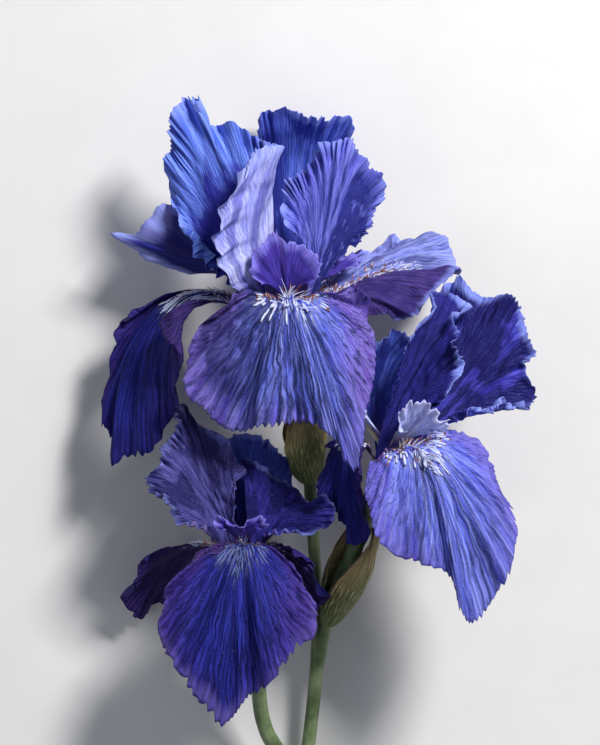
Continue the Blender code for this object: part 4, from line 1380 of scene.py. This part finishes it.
@dataclass(frozen=True)
class StyleFinish(Finish):
    """Silky violet arms, darker towards the column, with a dark midrib, fine veins and pale tips.

    far and far_light are darker colours of painted shade for an arm that lies in shadow, and far_tip is that
    arm's pale tips. Fine cells add painted glints.
    """

    name: str = "style_silk"
    root: Colour = (40, 16, 84)
    body: Colour = (44, 28, 124)
    light: Colour = (84, 66, 182)
    crest: Colour = (134, 128, 226)
    line: Colour = (26, 14, 82)
    far: Colour = (4, 14, 88)
    far_light: Colour = (16, 34, 132)
    far_tip: Colour = (158, 170, 246)

    def inputs(self, board: Board, shared: SharedEffects) -> dict[str, object]:
        """The shader's inputs, from streaks, veins and how far out along the arm a place lies."""
        vein, tone = board.measure("vein", "Vector"), board.measure("tone")
        v, t, _ = board.apart(vein)
        tissue = board.group(shared.tissue, Vein=vein, Place=board.place())
        streak, cell = tissue["Streak"].step(0.3, 0.7), tissue["Cell"]
        lines = shared.lines(board, vein, 16.0, 1.2, 0.4, 0.2)
        tips = (tissue["Cloud"] * 0.3 + t).step(1.02, 1.14, 0.0, 0.85)
        # The arm in shadow takes darker colours as painted shade, and fine cells add painted glints
        colour = board.layered(
            board.mix(streak, self.body, self.light), (tone, board.mix(streak, self.far, self.far_light)),
            (t.step(0.5, 0.12), self.root), (tips, board.mix(tone, self.crest, self.far_tip)),
            (lines * tone.step(0.0, 1.0, 0.34, 0.12), self.line),
            (abs(v).step(0.10, 0.02, 0.0, 0.5), self.root), (cell * 0.14, self.light),
        )
        return {
            "Base Color": colour, "Roughness": cell.step(0.2, 0.8, 0.6, 0.42),
            "Normal": board.bump(tissue["Streak"] * 0.6 + cell * 0.2, 0.5, 0.4 * MM),
            "Specular IOR Level": 0.25, "Sheen Weight": 0.04, "Sheen Tint": (190, 190, 255),
            "Subsurface Weight": 0.12, "Subsurface Scale": 1.2 * MM,
        }


@dataclass(frozen=True)
class BeardFinish(Finish):
    """Beard hairs: pale blue at the root, white along, and orange brown at the tips of the inner ones."""

    name: str = "beard_hair"
    root: Colour = (96, 108, 206)
    body: Colour = (202, 210, 240)
    tip: Colour = (168, 88, 20)
    dark_tip: Colour = (88, 40, 16)

    def inputs(self, board: Board, shared: SharedEffects) -> dict[str, object]:
        """The shader's inputs. A hair's kind, from 0 to 1, is how much of it has the tip's colour."""
        run, grain = board.measure("run"), board.noise(board.place(), 900.0, 2.0, 0.6)
        tipped = (run + (board.measure("kind") * 0.75 + grain * 0.12)).step(1.0, 1.25)
        brown = board.mix(grain.step(0.35, 0.65), self.tip, self.dark_tip)
        return {
            "Base Color": board.layered(self.root, (run.step(0.0, 0.3), self.body), (tipped, brown)),
            "Roughness": grain.step(0.3, 0.7, 0.45, 0.62), "Normal": board.bump(grain, 0.3, 0.1 * MM),
            "Sheen Weight": 0.15, "Subsurface Weight": 0.2, "Subsurface Scale": 0.5 * MM,
        }


@dataclass(frozen=True)
class StamenFinish(Finish):
    """A matt white thread with a pollen-dusted cream anther."""

    name: str = "stamen_pollen"
    thread: Colour = (206, 204, 226)
    anther: Colour = (226, 212, 176)
    pollen: Colour = (176, 140, 84)

    def inputs(self, board: Board, shared: SharedEffects) -> dict[str, object]:
        """The shader's inputs along the stamen's run."""
        grain = board.noise(board.place(), 1500.0, 3.0, 0.7)
        colour = board.layered(
            self.thread, (board.measure("run").step(0.48, 0.56), self.anther),
            (grain.step(0.5, 0.8, 0.0, 0.4), self.pollen),
        )
        return {
            "Base Color": colour, "Roughness": grain.step(0.3, 0.7, 0.7, 0.9),
            "Normal": board.bump(grain, 0.5, 0.2 * MM),
        }


@dataclass(frozen=True)
class BractFinish(Finish):
    """A papery bract: green at its foot, tan and brown towards its dry tip, with purple streaks."""

    name: str = "bract_paper"
    green: Colour = (74, 94, 36)
    tan: Colour = (156, 138, 86)
    brown: Colour = (84, 52, 36)
    purple: Colour = (70, 36, 62)
    cream: Colour = (226, 216, 164)

    def inputs(self, board: Board, shared: SharedEffects) -> dict[str, object]:
        """The shader's inputs, from ribs, fibres and the dryness that grows towards the tip."""
        vein = board.measure("vein", "Vector")
        v, t, _ = board.apart(vein)
        rib, fibre = board.group(shared.ribs, Vein=vein, Count=9.0).values()
        cloud = board.group(shared.tissue, Vein=vein, Place=board.place())["Cloud"]
        dry = cloud * 0.5 + (abs(v) * 0.35 + t)
        colour = board.layered(
            self.green, (dry.step(0.6, 1.2), self.tan), (fibre.step(0.5, 0.7, 0.0, 0.75), self.purple),
            (fibre.step(0.49, 0.34, 0.0, 0.75), self.cream), (dry.step(1.05, 1.5, 0.0, 0.8), self.brown),
            (rib.step(0.5, 0.0, 0.0, 0.45), self.brown),
        )
        return {
            "Base Color": colour, "Roughness": fibre.step(0.3, 0.7, 0.5, 0.75),
            "Normal": board.bump(rib * 0.6 + fibre * 0.5, 0.7, 0.5 * MM),
            "Subsurface Weight": 0.12, "Subsurface Scale": 1.0 * MM,
        }


@dataclass(frozen=True)
class StemFinish(Finish):
    """Green stem with a pale waxy bloom. Where kind is 1, its run ends in the flower's colour."""

    name: str = "stem_green"
    green: Colour = (68, 94, 42)
    dark: Colour = (36, 58, 26)
    wax: Colour = (140, 158, 116)
    flower: Colour = (92, 84, 120)

    def inputs(self, board: Board, shared: SharedEffects) -> dict[str, object]:
        """The shader's inputs, from fibres along the stem and clouds of wax."""
        place = board.place()
        x, y, z = board.apart(place)
        fibre = board.grain(x * 1400.0, y * 90.0, z * 1400.0, detail=4.0, roughness=0.6)
        cloud = board.noise(place, 60.0, 4.0, 0.55)
        colour = board.layered(
            self.dark, (fibre.step(0.3, 0.7), self.green), (cloud.step(0.36, 0.62, 0.15, 0.7), self.wax),
            (board.measure("run").step(0.68, 0.98) * board.measure("kind"), self.flower),
        )
        return {
            "Base Color": colour, "Roughness": cloud.step(0.4, 0.65, 0.38, 0.6),
            "Normal": board.bump(fibre, 0.4, 0.3 * MM),
            "Subsurface Weight": 0.08, "Subsurface Scale": 1.5 * MM,
        }


@dataclass(frozen=True)
class FloorFinish(Finish):
    """A matt pale floor with a faint grain."""

    name: str = "floor_pale"
    low: Colour = (222, 221, 220)
    high: Colour = (232, 231, 230)

    def inputs(self, board: Board, shared: SharedEffects) -> dict[str, object]:
        """The shader's inputs."""
        grain = board.noise(board.place(), 35.0, 4.0, 0.6)
        return {"Base Color": board.mix(grain, self.low, self.high), "Roughness": 0.8}


OTHER_FINISHES = (
    StyleFinish(),
    # Pale arms for the right bloom's style, made lighter still as painted light
    StyleFinish(
        "style_pale_lit", root=(84, 56, 150), body=(150, 160, 255), light=(218, 228, 255), crest=(204, 210, 255),
        line=(70, 60, 180),
    ),
    BeardFinish(),
    # Dim beard hairs for the left bloom, darkened as painted shade
    BeardFinish("beard_shaded", root=(36, 48, 130), body=(84, 104, 162), tip=(96, 66, 48)),
    StamenFinish(), BractFinish(), StemFinish(), FloorFinish(),
)


class Finishes:
    """Every material of the scene, by its name."""

    def __init__(self) -> None:
        """Builds the shared groups once and every material from them."""
        shared = SharedEffects()
        self.by_name = {finish.name: finish.material(shared) for finish in (*PETAL_FINISHES, *OTHER_FINISHES)}

    def __getitem__(self, name: str) -> bpy.types.Material:
        """The material of that name."""
        return self.by_name[name]


def in_scene(name: str, data: bpy.types.ID) -> bpy.types.Object:
    """A new object in the scene with this data."""
    thing = bpy.data.objects.new(name, data)
    bpy.context.scene.collection.objects.link(thing)
    return thing


def add_piece(
    name: str, mesh: bpy.types.Mesh, material: bpy.types.Material, node: str
) -> bpy.types.Object:
    """Puts a finished mesh in the scene in the place of a solid.

    Args:
        name: The piece's name.
        mesh: Its mesh, with its place in its vertices.
        material: Its finish.
        node: The solid that it stands for.

    Returns:
        The piece.
    """
    mesh.materials.append(material)
    piece = in_scene(name, mesh)
    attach(piece, BODY)
    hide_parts(node)
    LOG.info("%s: %d faces", name, len(mesh.polygons))
    return piece


@dataclass(frozen=True)
class PetalPiece:
    """One petal of a bloom as a thin closed sheet, with its walls in millimetres at the claw and margin."""

    surface: PetalSurface
    walls: tuple[float, float] = (0.55, 0.26)

    def build(self, finishes: Finishes) -> bpy.types.Object:
        """Works the petal's grid out and dresses it. Its rows lie closer together towards the margin.

        Args:
            finishes: Every material of the scene.

        Returns:
            The piece.
        """
        petal = self.surface.petal
        share = np.linspace(0, 1, petal.look.rows)
        share = share ** 0.75 if petal.kind is Kind.FALL else 1 - (1 - share) ** 1.6
        t, v = sheet_grid(share, petal.look.columns)
        middle, groove = self.surface.fine(t, v)
        node = self.surface.node
        mesh = sheet_mesh(node, middle, self.walls, v, t, groove)
        return add_piece(f"petal_{node}", mesh, finishes[petal.finish], node)


@dataclass(frozen=True)
class Beard:
    """The beard of a fall: hairs that stand on its ridge, and white ones that lie fanned out below it.

    standing, fanned and bristles are counts of hairs. The spans are shares of the veins, and lean is how
    much a standing hair lies along them. Hairs' lengths and radii are in millimetres, but fan_length is a
    share of the veins. browned is how much of the hairs is brown.
    """

    standing: int = 44
    fanned: int = 40
    ridge_span: tuple[float, float] = (0.16, 0.58)
    ridge_width: float = 0.085
    fan_span: tuple[float, float] = (0.4, 0.56)
    bristles: int = 84
    bristle_length: float = 1.7
    bristle_radius: float = 0.3
    bristle_span: tuple[float, float] = (0.26, 0.4)
    lean: tuple[float, float] = (-0.1, 0.7)
    hair_length: float = 6.2
    hair_radius: float = 0.3
    fan_length: float = 0.1
    fan_radius: float = 0.72
    browned: float = 1.0
    brown_span: tuple[float, float] = (0.35, 0.7)
    finish: str = "beard_hair"

    def build(self, surface: PetalSurface, finishes: Finishes) -> bpy.types.Object:
        """Draws where the hairs stand, seeded by the petal, and builds them as one mesh."""
        draw = np.random.default_rng(100 + surface.petal.look.seed)
        sorts = (self.standing_hairs, self.fanned_hairs, self.side_bristles)
        drawn = [hairs(surface, draw) for hairs in sorts]
        paths, radii, kind = (np.concatenate(rows) for rows in zip(*drawn))
        node = f"beard_{surface.node}"
        mesh = tubes_mesh(node, paths, radii, HAIR_SIDES, np.clip(self.browned * kind, 0, 1.3))
        return add_piece(f"hairs_{node}", mesh, finishes[self.finish], node)

    def standing_hairs(self, surface: PetalSurface, draw: np.random.Generator) -> Hairs:
        """Hairs that stand up from the ridge, lean along the veins and aside, and bend outwards.

        Args:
            surface: The surface of the fall that carries them.
            draw: The seeded draws.

        Returns:
            The hairs' paths and radii in metres, and their kinds.
        """
        count = self.standing
        t = draw.uniform(*self.ridge_span, count)
        v = np.clip(draw.normal(0, self.ridge_width, count), -0.3, 0.3)
        root, face, along = surface.off_face(t, v, -0.1)
        aside = np.cross(along, face)
        sway = (-v / self.ridge_width * 0.4 + draw.normal(0, 0.3, count))[:, None]
        lean = unit(face + along * draw.uniform(*self.lean, count)[:, None] + aside * sway)
        bend = along * draw.uniform(-0.1, 0.5, count)[:, None] + aside * sway * 0.2
        length = self.hair_length * MM * draw.uniform(0.3, 1.4, count)[:, None, None]
        run = HAIR_RUN[:, None]
        path = root[:, None] + length * (lean[:, None] * run + bend[:, None] * run ** 2)
        radii = self.hair_radius * MM * (1 - 0.72 * HAIR_RUN ** 1.5) * draw.uniform(0.7, 1.3, count)[:, None]
        fade = 1 - smooth_step(*self.brown_span, t)
        return path, radii, np.clip(draw.uniform(-0.3, 1.0, count) * fade, 0, 1)

    def fanned_hairs(self, surface: PetalSurface, draw: np.random.Generator) -> Hairs:
        """Spear-shaped hairs that follow the veins just over the face, further out towards the middle.

        Args:
            surface: The surface of the fall that carries them.
            draw: The seeded draws.

        Returns:
            The hairs' paths and radii in metres, and their kinds.
        """
        count, (low, high) = self.fanned, self.fan_span
        v = np.linspace(-0.94, 0.94, count) + draw.normal(0, 0.02, count)
        t = low + (high - low) * draw.uniform(0, 1, count) ** 1.3
        along = t[:, None] + self.fan_length * draw.uniform(0.5, 1.3, count)[:, None] * HAIR_RUN
        across = np.broadcast_to(v[:, None], along.shape)
        path, face, _ = surface.off_face(along.ravel(), across.ravel(), 0.25)
        lift = (draw.uniform(0.0, 0.9, count)[:, None] * HAIR_RUN ** 2).reshape(-1, 1)
        path = (path + face * lift * MM).reshape(count, len(HAIR_RUN), 3)
        shape = np.sin(math.pi * (0.1 + 0.8 * HAIR_RUN)) ** 0.6 * (0.6 + 0.4 * HAIR_RUN)
        radii = self.fan_radius * MM * shape * draw.uniform(0.55, 1.15, count)[:, None]
        kind = draw.uniform(0.0, 0.5, count) * smooth_step(0.3, 0.7, np.abs(v))
        return path, radii, np.clip(kind, 0, 0.4)

    def side_bristles(self, surface: PetalSurface, draw: np.random.Generator) -> Hairs:
        """Short stout bristles on both sides of the haft, nearly all of them brown, that lie along it.

        Args:
            surface: The surface of the fall that carries them.
            draw: The seeded draws.

        Returns:
            The hairs' paths and radii in metres, and their kinds.
        """
        count = self.bristles
        v = draw.choice((-1.0, 1.0), count) * draw.uniform(0.35, 0.96, count)
        t = draw.uniform(*self.bristle_span, count) + 0.06 * np.abs(v)
        root, face, along = surface.off_face(t, v, 0.1)
        lean = unit(along + face * draw.uniform(0.1, 0.9, count)[:, None])
        length = self.bristle_length * MM * draw.uniform(0.5, 1.4, count)[:, None, None]
        shape = np.sin(math.pi * (0.12 + 0.76 * HAIR_RUN)) ** 0.5
        radii = self.bristle_radius * MM * shape * draw.uniform(0.7, 1.4, count)[:, None]
        path = root[:, None] + length * lean[:, None] * HAIR_RUN[:, None]
        return path, radii, np.clip(draw.normal(0.6, 0.5, count), 0, 1.2)


# The beards of the falls, by the falls' finishes
BEARDS = {
    "fall_main": Beard(),
    "fall_lit": Beard(standing=110, lean=(0.6, 1.8), hair_length=4.2),
    "fall_low_shaded": Beard(
        standing=46, fanned=26, lean=(0.6, 1.8), hair_length=4.0, fan_length=0.15, fan_radius=0.5,
        browned=0.7, finish="beard_shaded",
    ),
    "fall_pale": Beard(
        standing=210, fanned=0, ridge_span=(0.16, 0.8), lean=(0.8, 2.4), hair_length=2.3, hair_radius=0.36,
        browned=2.2, brown_span=(0.5, 0.8),
    ),
    "fall_shaded": Beard(standing=120, fanned=34, lean=(0.8, 2.2), hair_length=2.4, browned=0.8),
}


@dataclass(frozen=True)
class Style:
    """The style of a bloom: a column that parts into three arms with upright fringed crests."""

    bloom: Bloom
    arms: tuple[Arm, ...]
    column_radius: float = 2.2
    column_top: float = 3.0
    root_out: float = 0.6
    root_drop: float = 5.0
    half_widths: tuple[float, float, float] = (1.3, 2.5, 6.0)
    rows: int = 36
    columns: int = 60
    rib_height: float = 0.7
    pleat: float = 0.22
    frill: float = 0.7
    notch: float = 0.07
    wrinkle: float = 0.9
    walls: tuple[float, float] = (0.7, 0.3)
    column_rings: int = 6
    column_sides: int = 20

    def arm_grid(self, arm: Arm, seed: int) -> tuple[np.ndarray, ...]:
        """The grid of one arm: its smooth blade with a raised midrib, pleats, a frill and a cut fringe.

        The smooth blade is a cubic Bezier curve from the column, by two handles that widen, to the
        crest's margin. The midrib is a bell curve across v, and the pleats and the frill are sine waves.

        Args:
            arm: The arm.
            seed: Which noise its fringe uses.

        Returns:
            The places in metres, their v and t, and the groove depths.
        """
        out, side = self.bloom.outward(arm.bearing)
        up = self.bloom.frame()[1]
        t, v = sheet_grid(np.linspace(0, 1, self.rows) ** 0.85, self.columns)
        teeth = 0.4 * np.abs(value_noise(9 * v, 0, seed)) + np.abs(value_noise(24 * v, 1, seed + 1))
        cut = (t * (1 - self.notch * arm.relief * teeth * smooth_step(0.6, 1.0, t)))[..., None]
        middles = (out * self.root_out - up * self.root_drop, *arm.handles)
        first, second, third = (
            np.array(middle) + side * (half * v)[..., None] for middle, half in zip(middles, self.half_widths)
        )
        blade = (
            (1 - cut) ** 3 * first + 3 * (1 - cut) ** 2 * cut * second
            + 3 * (1 - cut) * cut ** 2 * third + cut ** 3 * curve_through(arm.margin, 0.5 * (v + 1))
        )
        face = unit(np.cross(np.gradient(blade, axis=0), np.gradient(blade, axis=1)))
        groove = (1 - np.abs(np.sin(8.5 * math.pi * v + value_noise(3 * v, 4 * t, seed + 2)))) ** 2
        groove = groove * smooth_step(0.3, 0.6, t)
        rib = self.rib_height * np.exp(-((v / 0.1) ** 2)) * smooth_step(0, 0.3, t) * smooth_step(1, 0.7, t)
        frill = self.frill * np.sin(7 * math.pi * v + seed) * smooth_step(0.55, 1.0, t) ** 1.5
        wrinkle = value_noise(5 * v, 6 * t, seed + 3) + 0.5 * value_noise(12 * v, 13 * t, seed + 4)
        wrinkle = self.wrinkle * arm.relief * wrinkle * smooth_step(0.45, 0.8, t)
        shift = frill - rib - self.pleat * arm.relief * groove + wrinkle
        return self.bloom.in_world(blade + face * shift[..., None]), v, t, groove

    def build(self, finishes: Finishes) -> bpy.types.Object:
        """Builds the column and the arms as one piece.

        Args:
            finishes: Every material of the scene.

        Returns:
            The piece.
        """
        node = f"style_{self.bloom.name}"
        # The right bloom's arms are paler, partly as painted light
        finish = "style_pale_lit" if self.bloom is RIGHT else "style_silk"
        up = self.bloom.frame()[1]
        drops = np.linspace(CLAW_DROP - 0.1, self.column_top, self.column_rings)
        column = self.bloom.in_world(-up * drops[:, None])
        meshes = [swept_mesh(node, column, np.full((len(drops), self.column_sides), self.column_radius), 0.0)]
        for number, arm in enumerate(self.arms):
            place, v, t, groove = self.arm_grid(arm, 300 + 10 * number + len(self.bloom.name))
            mesh = sheet_mesh(node, place, self.walls, v, t, groove)
            # Stores how much each arm is painted in shade
            add_measure(mesh, "tone", np.full(len(mesh.vertices), arm.tone))
            meshes.append(mesh)
        return add_piece(f"arms_{node}", merged(node, meshes), finishes[finish], node)


def merged(name: str, meshes: list[bpy.types.Mesh]) -> bpy.types.Mesh:
    """One mesh with the faces of several, which keep their measures.

    Args:
        name: The new mesh's name.
        meshes: The meshes, which end in it.

    Returns:
        The mesh.
    """
    things = [in_scene(name, mesh) for mesh in meshes]
    with bpy.context.temp_override(
        active_object=things[0], object=things[0], selected_objects=things, selected_editable_objects=things
    ):
        bpy.ops.object.join()
    mesh = things[0].data
    bpy.data.objects.remove(things[0])
    return mesh


@dataclass(frozen=True)
class Stamen:
    """A stamen between a fall and the style arm over it: a thin thread and a longer, two-lobed anther."""

    bloom: Bloom
    arm: Arm
    out_and_up: tuple[tuple[float, float], ...] = (
        (3.8, 0.1 - CLAW_DROP), (5.0, -6.5), (8.0, -2.2), (12.5, 0.6)
    )
    thread_radius: float = 0.5
    anther_radius: float = 1.05
    stations: int = 26
    sides: int = 14

    def build(self, finishes: Finishes) -> bpy.types.Object:
        """Sweeps the stamen: its radius steps up at the anther, which has a groove along each side.

        Args:
            finishes: Every material of the scene.

        Returns:
            The piece.
        """
        out, _ = self.bloom.outward(self.arm.bearing)
        up = self.bloom.frame()[1]
        route = [out * away + up * height for away, height in self.out_and_up]
        run = np.linspace(0, 1, self.stations)
        path = self.bloom.in_world(curve_through(route, run))
        swell = smooth_step(0.5, 0.58, run) * np.sqrt(np.clip((1.002 - run) / 0.2, 0, 1))
        radius = self.thread_radius * (1 - 0.35 * run) + (self.anther_radius - self.thread_radius) * swell
        radius = radius * np.where(run > 0.97, 0.6, 1.0)
        turn = ring_turns(self.sides)
        lobes = 1 - 0.28 * smooth_step(0.5, 0.6, run)[:, None] * np.cos(turn) ** 6
        node = f"stamen_{round(self.arm.bearing) % 360}_{self.bloom.name}"
        mesh = swept_mesh(node, path, radius[:, None] * lobes, 0.0)
        return add_piece(f"thread_{node}", mesh, finishes["stamen_pollen"], node)


def tube_route(bloom: Bloom) -> np.ndarray:
    """The line of the ovary and flower tube in metres, from the stalk to the rim that carries the petals."""
    up = bloom.frame()[1]
    rim = np.array(bloom.heart) - up * RIM_DROP
    neck = rim - up * NECK_LENGTH
    root = np.array(bloom.root)
    route = curve_through([root, 0.5 * (root + neck), neck, rim], np.linspace(0, 1, 9))
    return route * MM - MIDDLE


@dataclass(frozen=True)
class FlowerTube:
    """The ovary of a bloom and the flower tube over it, which flares to the rim."""

    bloom: Bloom
    radii: tuple[float, ...] = (3.0, 4.4, 4.9, 4.4, 3.4, 3.0, 3.2, 4.6, RIM_RADIUS - 0.4)
    stations: int = 64
    sides: int = 42
    ridge: float = 0.07

    def build(self, finishes: Finishes) -> bpy.types.Object:
        """Sweeps the tube with six rounded ridges, strongest round the ovary.

        Args:
            finishes: Every material of the scene.

        Returns:
            The piece.
        """
        run = np.linspace(0, 1, self.stations)
        path = curve_through(tube_route(self.bloom), run)
        evenly = np.linspace(0, 1, len(self.radii))
        radius = curve_through(np.column_stack([evenly, self.radii]), run)[:, 1]
        turn = ring_turns(self.sides)
        ridges = self.ridge * np.abs(np.cos(3 * turn)) * smooth_step(1.0, 0.5, run)[:, None]
        swell = 1 + ridges - 0.5 * self.ridge
        node = f"flower_tube_{self.bloom.name}"
        mesh = swept_mesh(node, path, radius[:, None] * swell, 1.0)
        return add_piece(f"ovary_{node}", mesh, finishes["stem_green"], node)


@dataclass(frozen=True)
class Bract:
    """A papery bract round an ovary: how far along it starts and ends, its size, and which way it opens."""

    name: str
    bloom: Bloom
    start: float
    end: float
    radius: float
    bearing: float
    wrap: float
    mouth_radius: float = 3.9
    tip_widening: float = 0.6
    tip_closing: float = 0.88
    rows: int = 44
    columns: int = 56
    rib: float = 0.22
    wrinkle: float = 0.5
    walls: tuple[float, float] = (0.5, 0.3)

    def grid(self, t: np.ndarray, v: np.ndarray) -> np.ndarray:
        """Places on the bract, in metres: a trough round the ovary that closes to a leaf's tip.

        The trough's radius swells by the sine of t. Ribs along it, wrinkles, and a torn dry margin are
        added to the radius and taken off the tip.

        Args:
            t: How far from the bract's foot to its tip, from 0 to 1.
            v: How far round it, from -1 to 1.

        Returns:
            The places.
        """
        route = tube_route(self.bloom)
        foot, head = curve_through(route, np.array(self.start)), curve_through(route, np.array(self.end))
        along = unit(head - foot)
        out = self.bloom.outward(self.bearing)[0]
        out = unit(out - along * (out @ along))
        side = np.cross(along, out)
        seed = 500 + int(self.bearing)
        torn = t * (1 - 0.05 * np.abs(value_noise(14 * v, 0, seed)))
        middle = curve_through(route, self.start + (self.end - self.start) * torn)
        swell = (self.radius - self.mouth_radius) * np.sin(math.pi * t) ** 0.8
        girth = self.mouth_radius + self.tip_widening * t + swell
        girth = girth + self.rib * np.abs(np.sin(9 * math.pi * v)) ** 0.7
        girth = girth + self.wrinkle * value_noise(4 * v, 5 * t, seed + 1) * smooth_step(0.1, 0.5, t)
        girth = girth + 0.7 * smooth_step(0.7, 1.0, np.abs(v)) * (1 + value_noise(3 * v, 7 * t, seed + 2))
        turn = math.radians(self.wrap) * (1 - self.tip_closing * t ** 2.5) * v
        ring = np.cos(turn)[..., None] * out + np.sin(turn)[..., None] * side
        return middle + MM * girth[..., None] * ring

    def build(self, finishes: Finishes) -> bpy.types.Object:
        """Works the bract's grid out and dresses it."""
        t, v = sheet_grid(np.linspace(0, 1, self.rows), self.columns)
        node = f"{self.name}_{self.bloom.name}"
        mesh = sheet_mesh(node, self.grid(t, v), self.walls, v, t, np.zeros_like(t))
        return add_piece(f"paper_{node}", mesh, finishes["bract_paper"], node)


BRACTS = (
    Bract("bract_front", RIGHT, -0.02, 0.66, 9.6, 60, 96),
    Bract("bract_back", RIGHT, 0.04, 0.58, 8.2, 240, 72),
    Bract("bract_front", TOP, -0.02, 0.55, 8.6, 20, 96),
    Bract("bract_back", TOP, 0.04, 0.48, 7.6, 200, 74),
    Bract("bract_back", LEFT, 0.0, 0.60, 8.0, 180, 110),
)


@dataclass(frozen=True)
class Stalk:
    """The main stalk, from its cut end to the top bloom, with the side branches of the other two."""

    places: tuple[Point, ...] = ((0, -66, 4.9), (1.5, -18, 9.5), (4, 0, 12), (7.2, 34, 17.5))
    radii: tuple[float, float, float] = (4.6, 2.9, 2.5)
    left_bend: Point = (-13, 0, 16)
    left_radius: float = 3.2
    right_sink: Point = (0.2, 8, 1.6)
    right_radius: float = 2.3
    stations: int = 120
    sides: int = 32

    def branch(self, points: tuple[Point, ...], radii: tuple[float, ...], stations: int) -> bpy.types.Mesh:
        """A branch along a smooth route, with faint ridges and swellings along it.

        Args:
            points: The route's points in millimetres.
            radii: The radii in millimetres, evenly spread along it.
            stations: How many rings it has.

        Returns:
            The branch.
        """
        run = np.linspace(0, 1, stations)
        path = curve_through(np.array(points, float), run) * MM - MIDDLE
        radius = np.interp(run, np.linspace(0, 1, len(radii)), radii)
        turn = ring_turns(self.sides)
        swellings = 0.03 * value_noise(2 * turn[None], 14 * run[:, None], 41)
        ridges = 1 + 0.025 * np.sin(7 * turn)[None] + swellings
        return swept_mesh("stalk", path, radius[:, None] * ridges, 0.0)

    def build(self, finishes: Finishes) -> bpy.types.Object:
        """Builds the stalk and its branches as one piece.

        Args:
            finishes: Every material of the scene.

        Returns:
            The piece.
        """
        end, fork, bend, upper = self.places
        thick, slim, thin = self.radii
        sunk = tuple(np.subtract(upper, self.right_sink))
        meshes = [
            self.branch((end, fork, bend, upper, TOP.root), (thick, slim, slim, thin, thin), self.stations),
            self.branch((fork, self.left_bend, LEFT.root), (self.left_radius,) * 2, self.stations // 2),
            self.branch((sunk, RIGHT.root), (self.right_radius,) * 2, self.stations // 5),
        ]
        return add_piece("stem_stalk", merged("stalk", meshes), finishes["stem_green"], "stalk")


@dataclass(frozen=True)
class Lamp:
    """A soft square light: where it hangs, its edge in metres, its power in watts and its colour."""

    name: str
    place: Point
    size: float
    power: float
    colour: Point

    def build(self, aim: np.ndarray) -> None:
        """Adds the light, turned towards a place."""
        light = bpy.data.lights.new(self.name, "AREA")
        light.size, light.energy, light.color = self.size, self.power, self.colour
        thing = in_scene(self.name, light)
        thing.location = self.place
        away = unit(np.array(self.place) - aim)
        thing.rotation_euler = (math.acos(away[2]), 0, math.atan2(away[0], -away[1]))


@dataclass(frozen=True)
class Studio:
    """A plain pale floor, soft lights and the camera over the stalk.

    The photograph's middle lies over a place on the stalk, and its height covers a length there, both in
    millimetres. The camera's height and the floor's edge are in metres.
    """

    middle: Point = (0.0, 156.45, 55.0)
    view_height: float = 312.9
    camera_height: float = 2.0
    sensor: float = 36.0
    floor_size: float = 3.0
    sky: Point = (0.8, 0.86, 1.0)
    sky_strength: float = 0.2
    lamps: tuple[Lamp, ...] = (
        Lamp("key", (0.7, 0.95, 1.15), 0.36, 32.0, (1.0, 0.985, 0.97)),
        Lamp("fill", (-1.1, -0.3, 1.2), 1.1, 3.0, (0.92, 0.95, 1.0)),
        Lamp("edge", (0.9, -0.8, 0.7), 0.7, 1.5, (1.0, 1.0, 1.0)),
    )

    def build(self, finishes: Finishes) -> None:
        """Builds the floor, the lights, the background and the camera.

        Args:
            finishes: Every material of the scene.
        """
        aim = np.array(self.middle) * MM - MIDDLE
        self.add_floor(finishes["floor_pale"])
        for lamp in self.lamps:
            lamp.build(aim)
        world = bpy.data.worlds.new("studio")
        bpy.context.scene.world = world
        world.use_nodes = True
        background = world.node_tree.nodes["Background"]
        background.inputs["Color"].default_value = (*self.sky, 1)
        background.inputs["Strength"].default_value = self.sky_strength
        camera = bpy.data.cameras.new("portrait")
        camera.sensor_width = self.sensor
        camera.lens = self.sensor * (self.camera_height - aim[2]) / (self.view_height * MM)
        thing = in_scene("portrait", camera)
        thing.location = (aim[0], aim[1], self.camera_height)
        bpy.context.scene.camera = thing
        bpy.context.scene.view_settings.view_transform = "Standard"

    def add_floor(self, material: bpy.types.Material) -> None:
        """The floor: one flat sheet at height 0."""
        half = 0.5 * self.floor_size
        corners = np.array([(-half, -half, 0), (half, -half, 0), (half, half, 0), (-half, half, 0)])
        mesh = mesh_of("floor", corners, [np.array([[0, 1, 2, 3]])])
        mesh.materials.append(material)
        floor = in_scene("floor", mesh)


@dataclass(frozen=True)
class Flower:
    """Everything that one bloom has: its petals with their beards, its style, stamens and tube."""

    bloom: Bloom
    petals: tuple[Petal, ...]
    arms: tuple[Arm, ...]

    def build(self, finishes: Finishes) -> None:
        """Builds the bloom's pieces in turn.

        Args:
            finishes: Every material of the scene.
        """
        FlowerTube(self.bloom).build(finishes)
        for petal in self.petals:
            surface = PetalSurface(self.bloom, petal)
            PetalPiece(surface).build(finishes)
            if petal.kind is Kind.FALL:
                BEARDS[petal.finish].build(surface, finishes)
        Style(self.bloom, self.arms).build(finishes)
        for arm in self.arms:
            Stamen(self.bloom, arm).build(finishes)


def main() -> None:
    """Loads the solids, builds every piece over them and sets up the studio."""
    logging.basicConfig(level=logging.INFO, format="%(message)s")
    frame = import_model()
    LOG.info("%d solids to dress", len(frame["nodes"]))
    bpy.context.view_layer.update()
    finishes = Finishes()
    for bloom, shown, hidden, arms in (
        (TOP, TOP_PETALS, (), TOP_ARMS),
        (RIGHT, RIGHT_PETALS, RIGHT_HIDDEN, RIGHT_ARMS),
        (LEFT, LEFT_PETALS, LEFT_HIDDEN, LEFT_ARMS),
    ):
        Flower(bloom, (*shown, *(shape.petal(bloom) for shape in hidden)), arms).build(finishes)
    for bract in BRACTS:
        bract.build(finishes)
    Stalk().build(finishes)
    Studio().build(finishes)


if __name__ == "__main__":
    main()
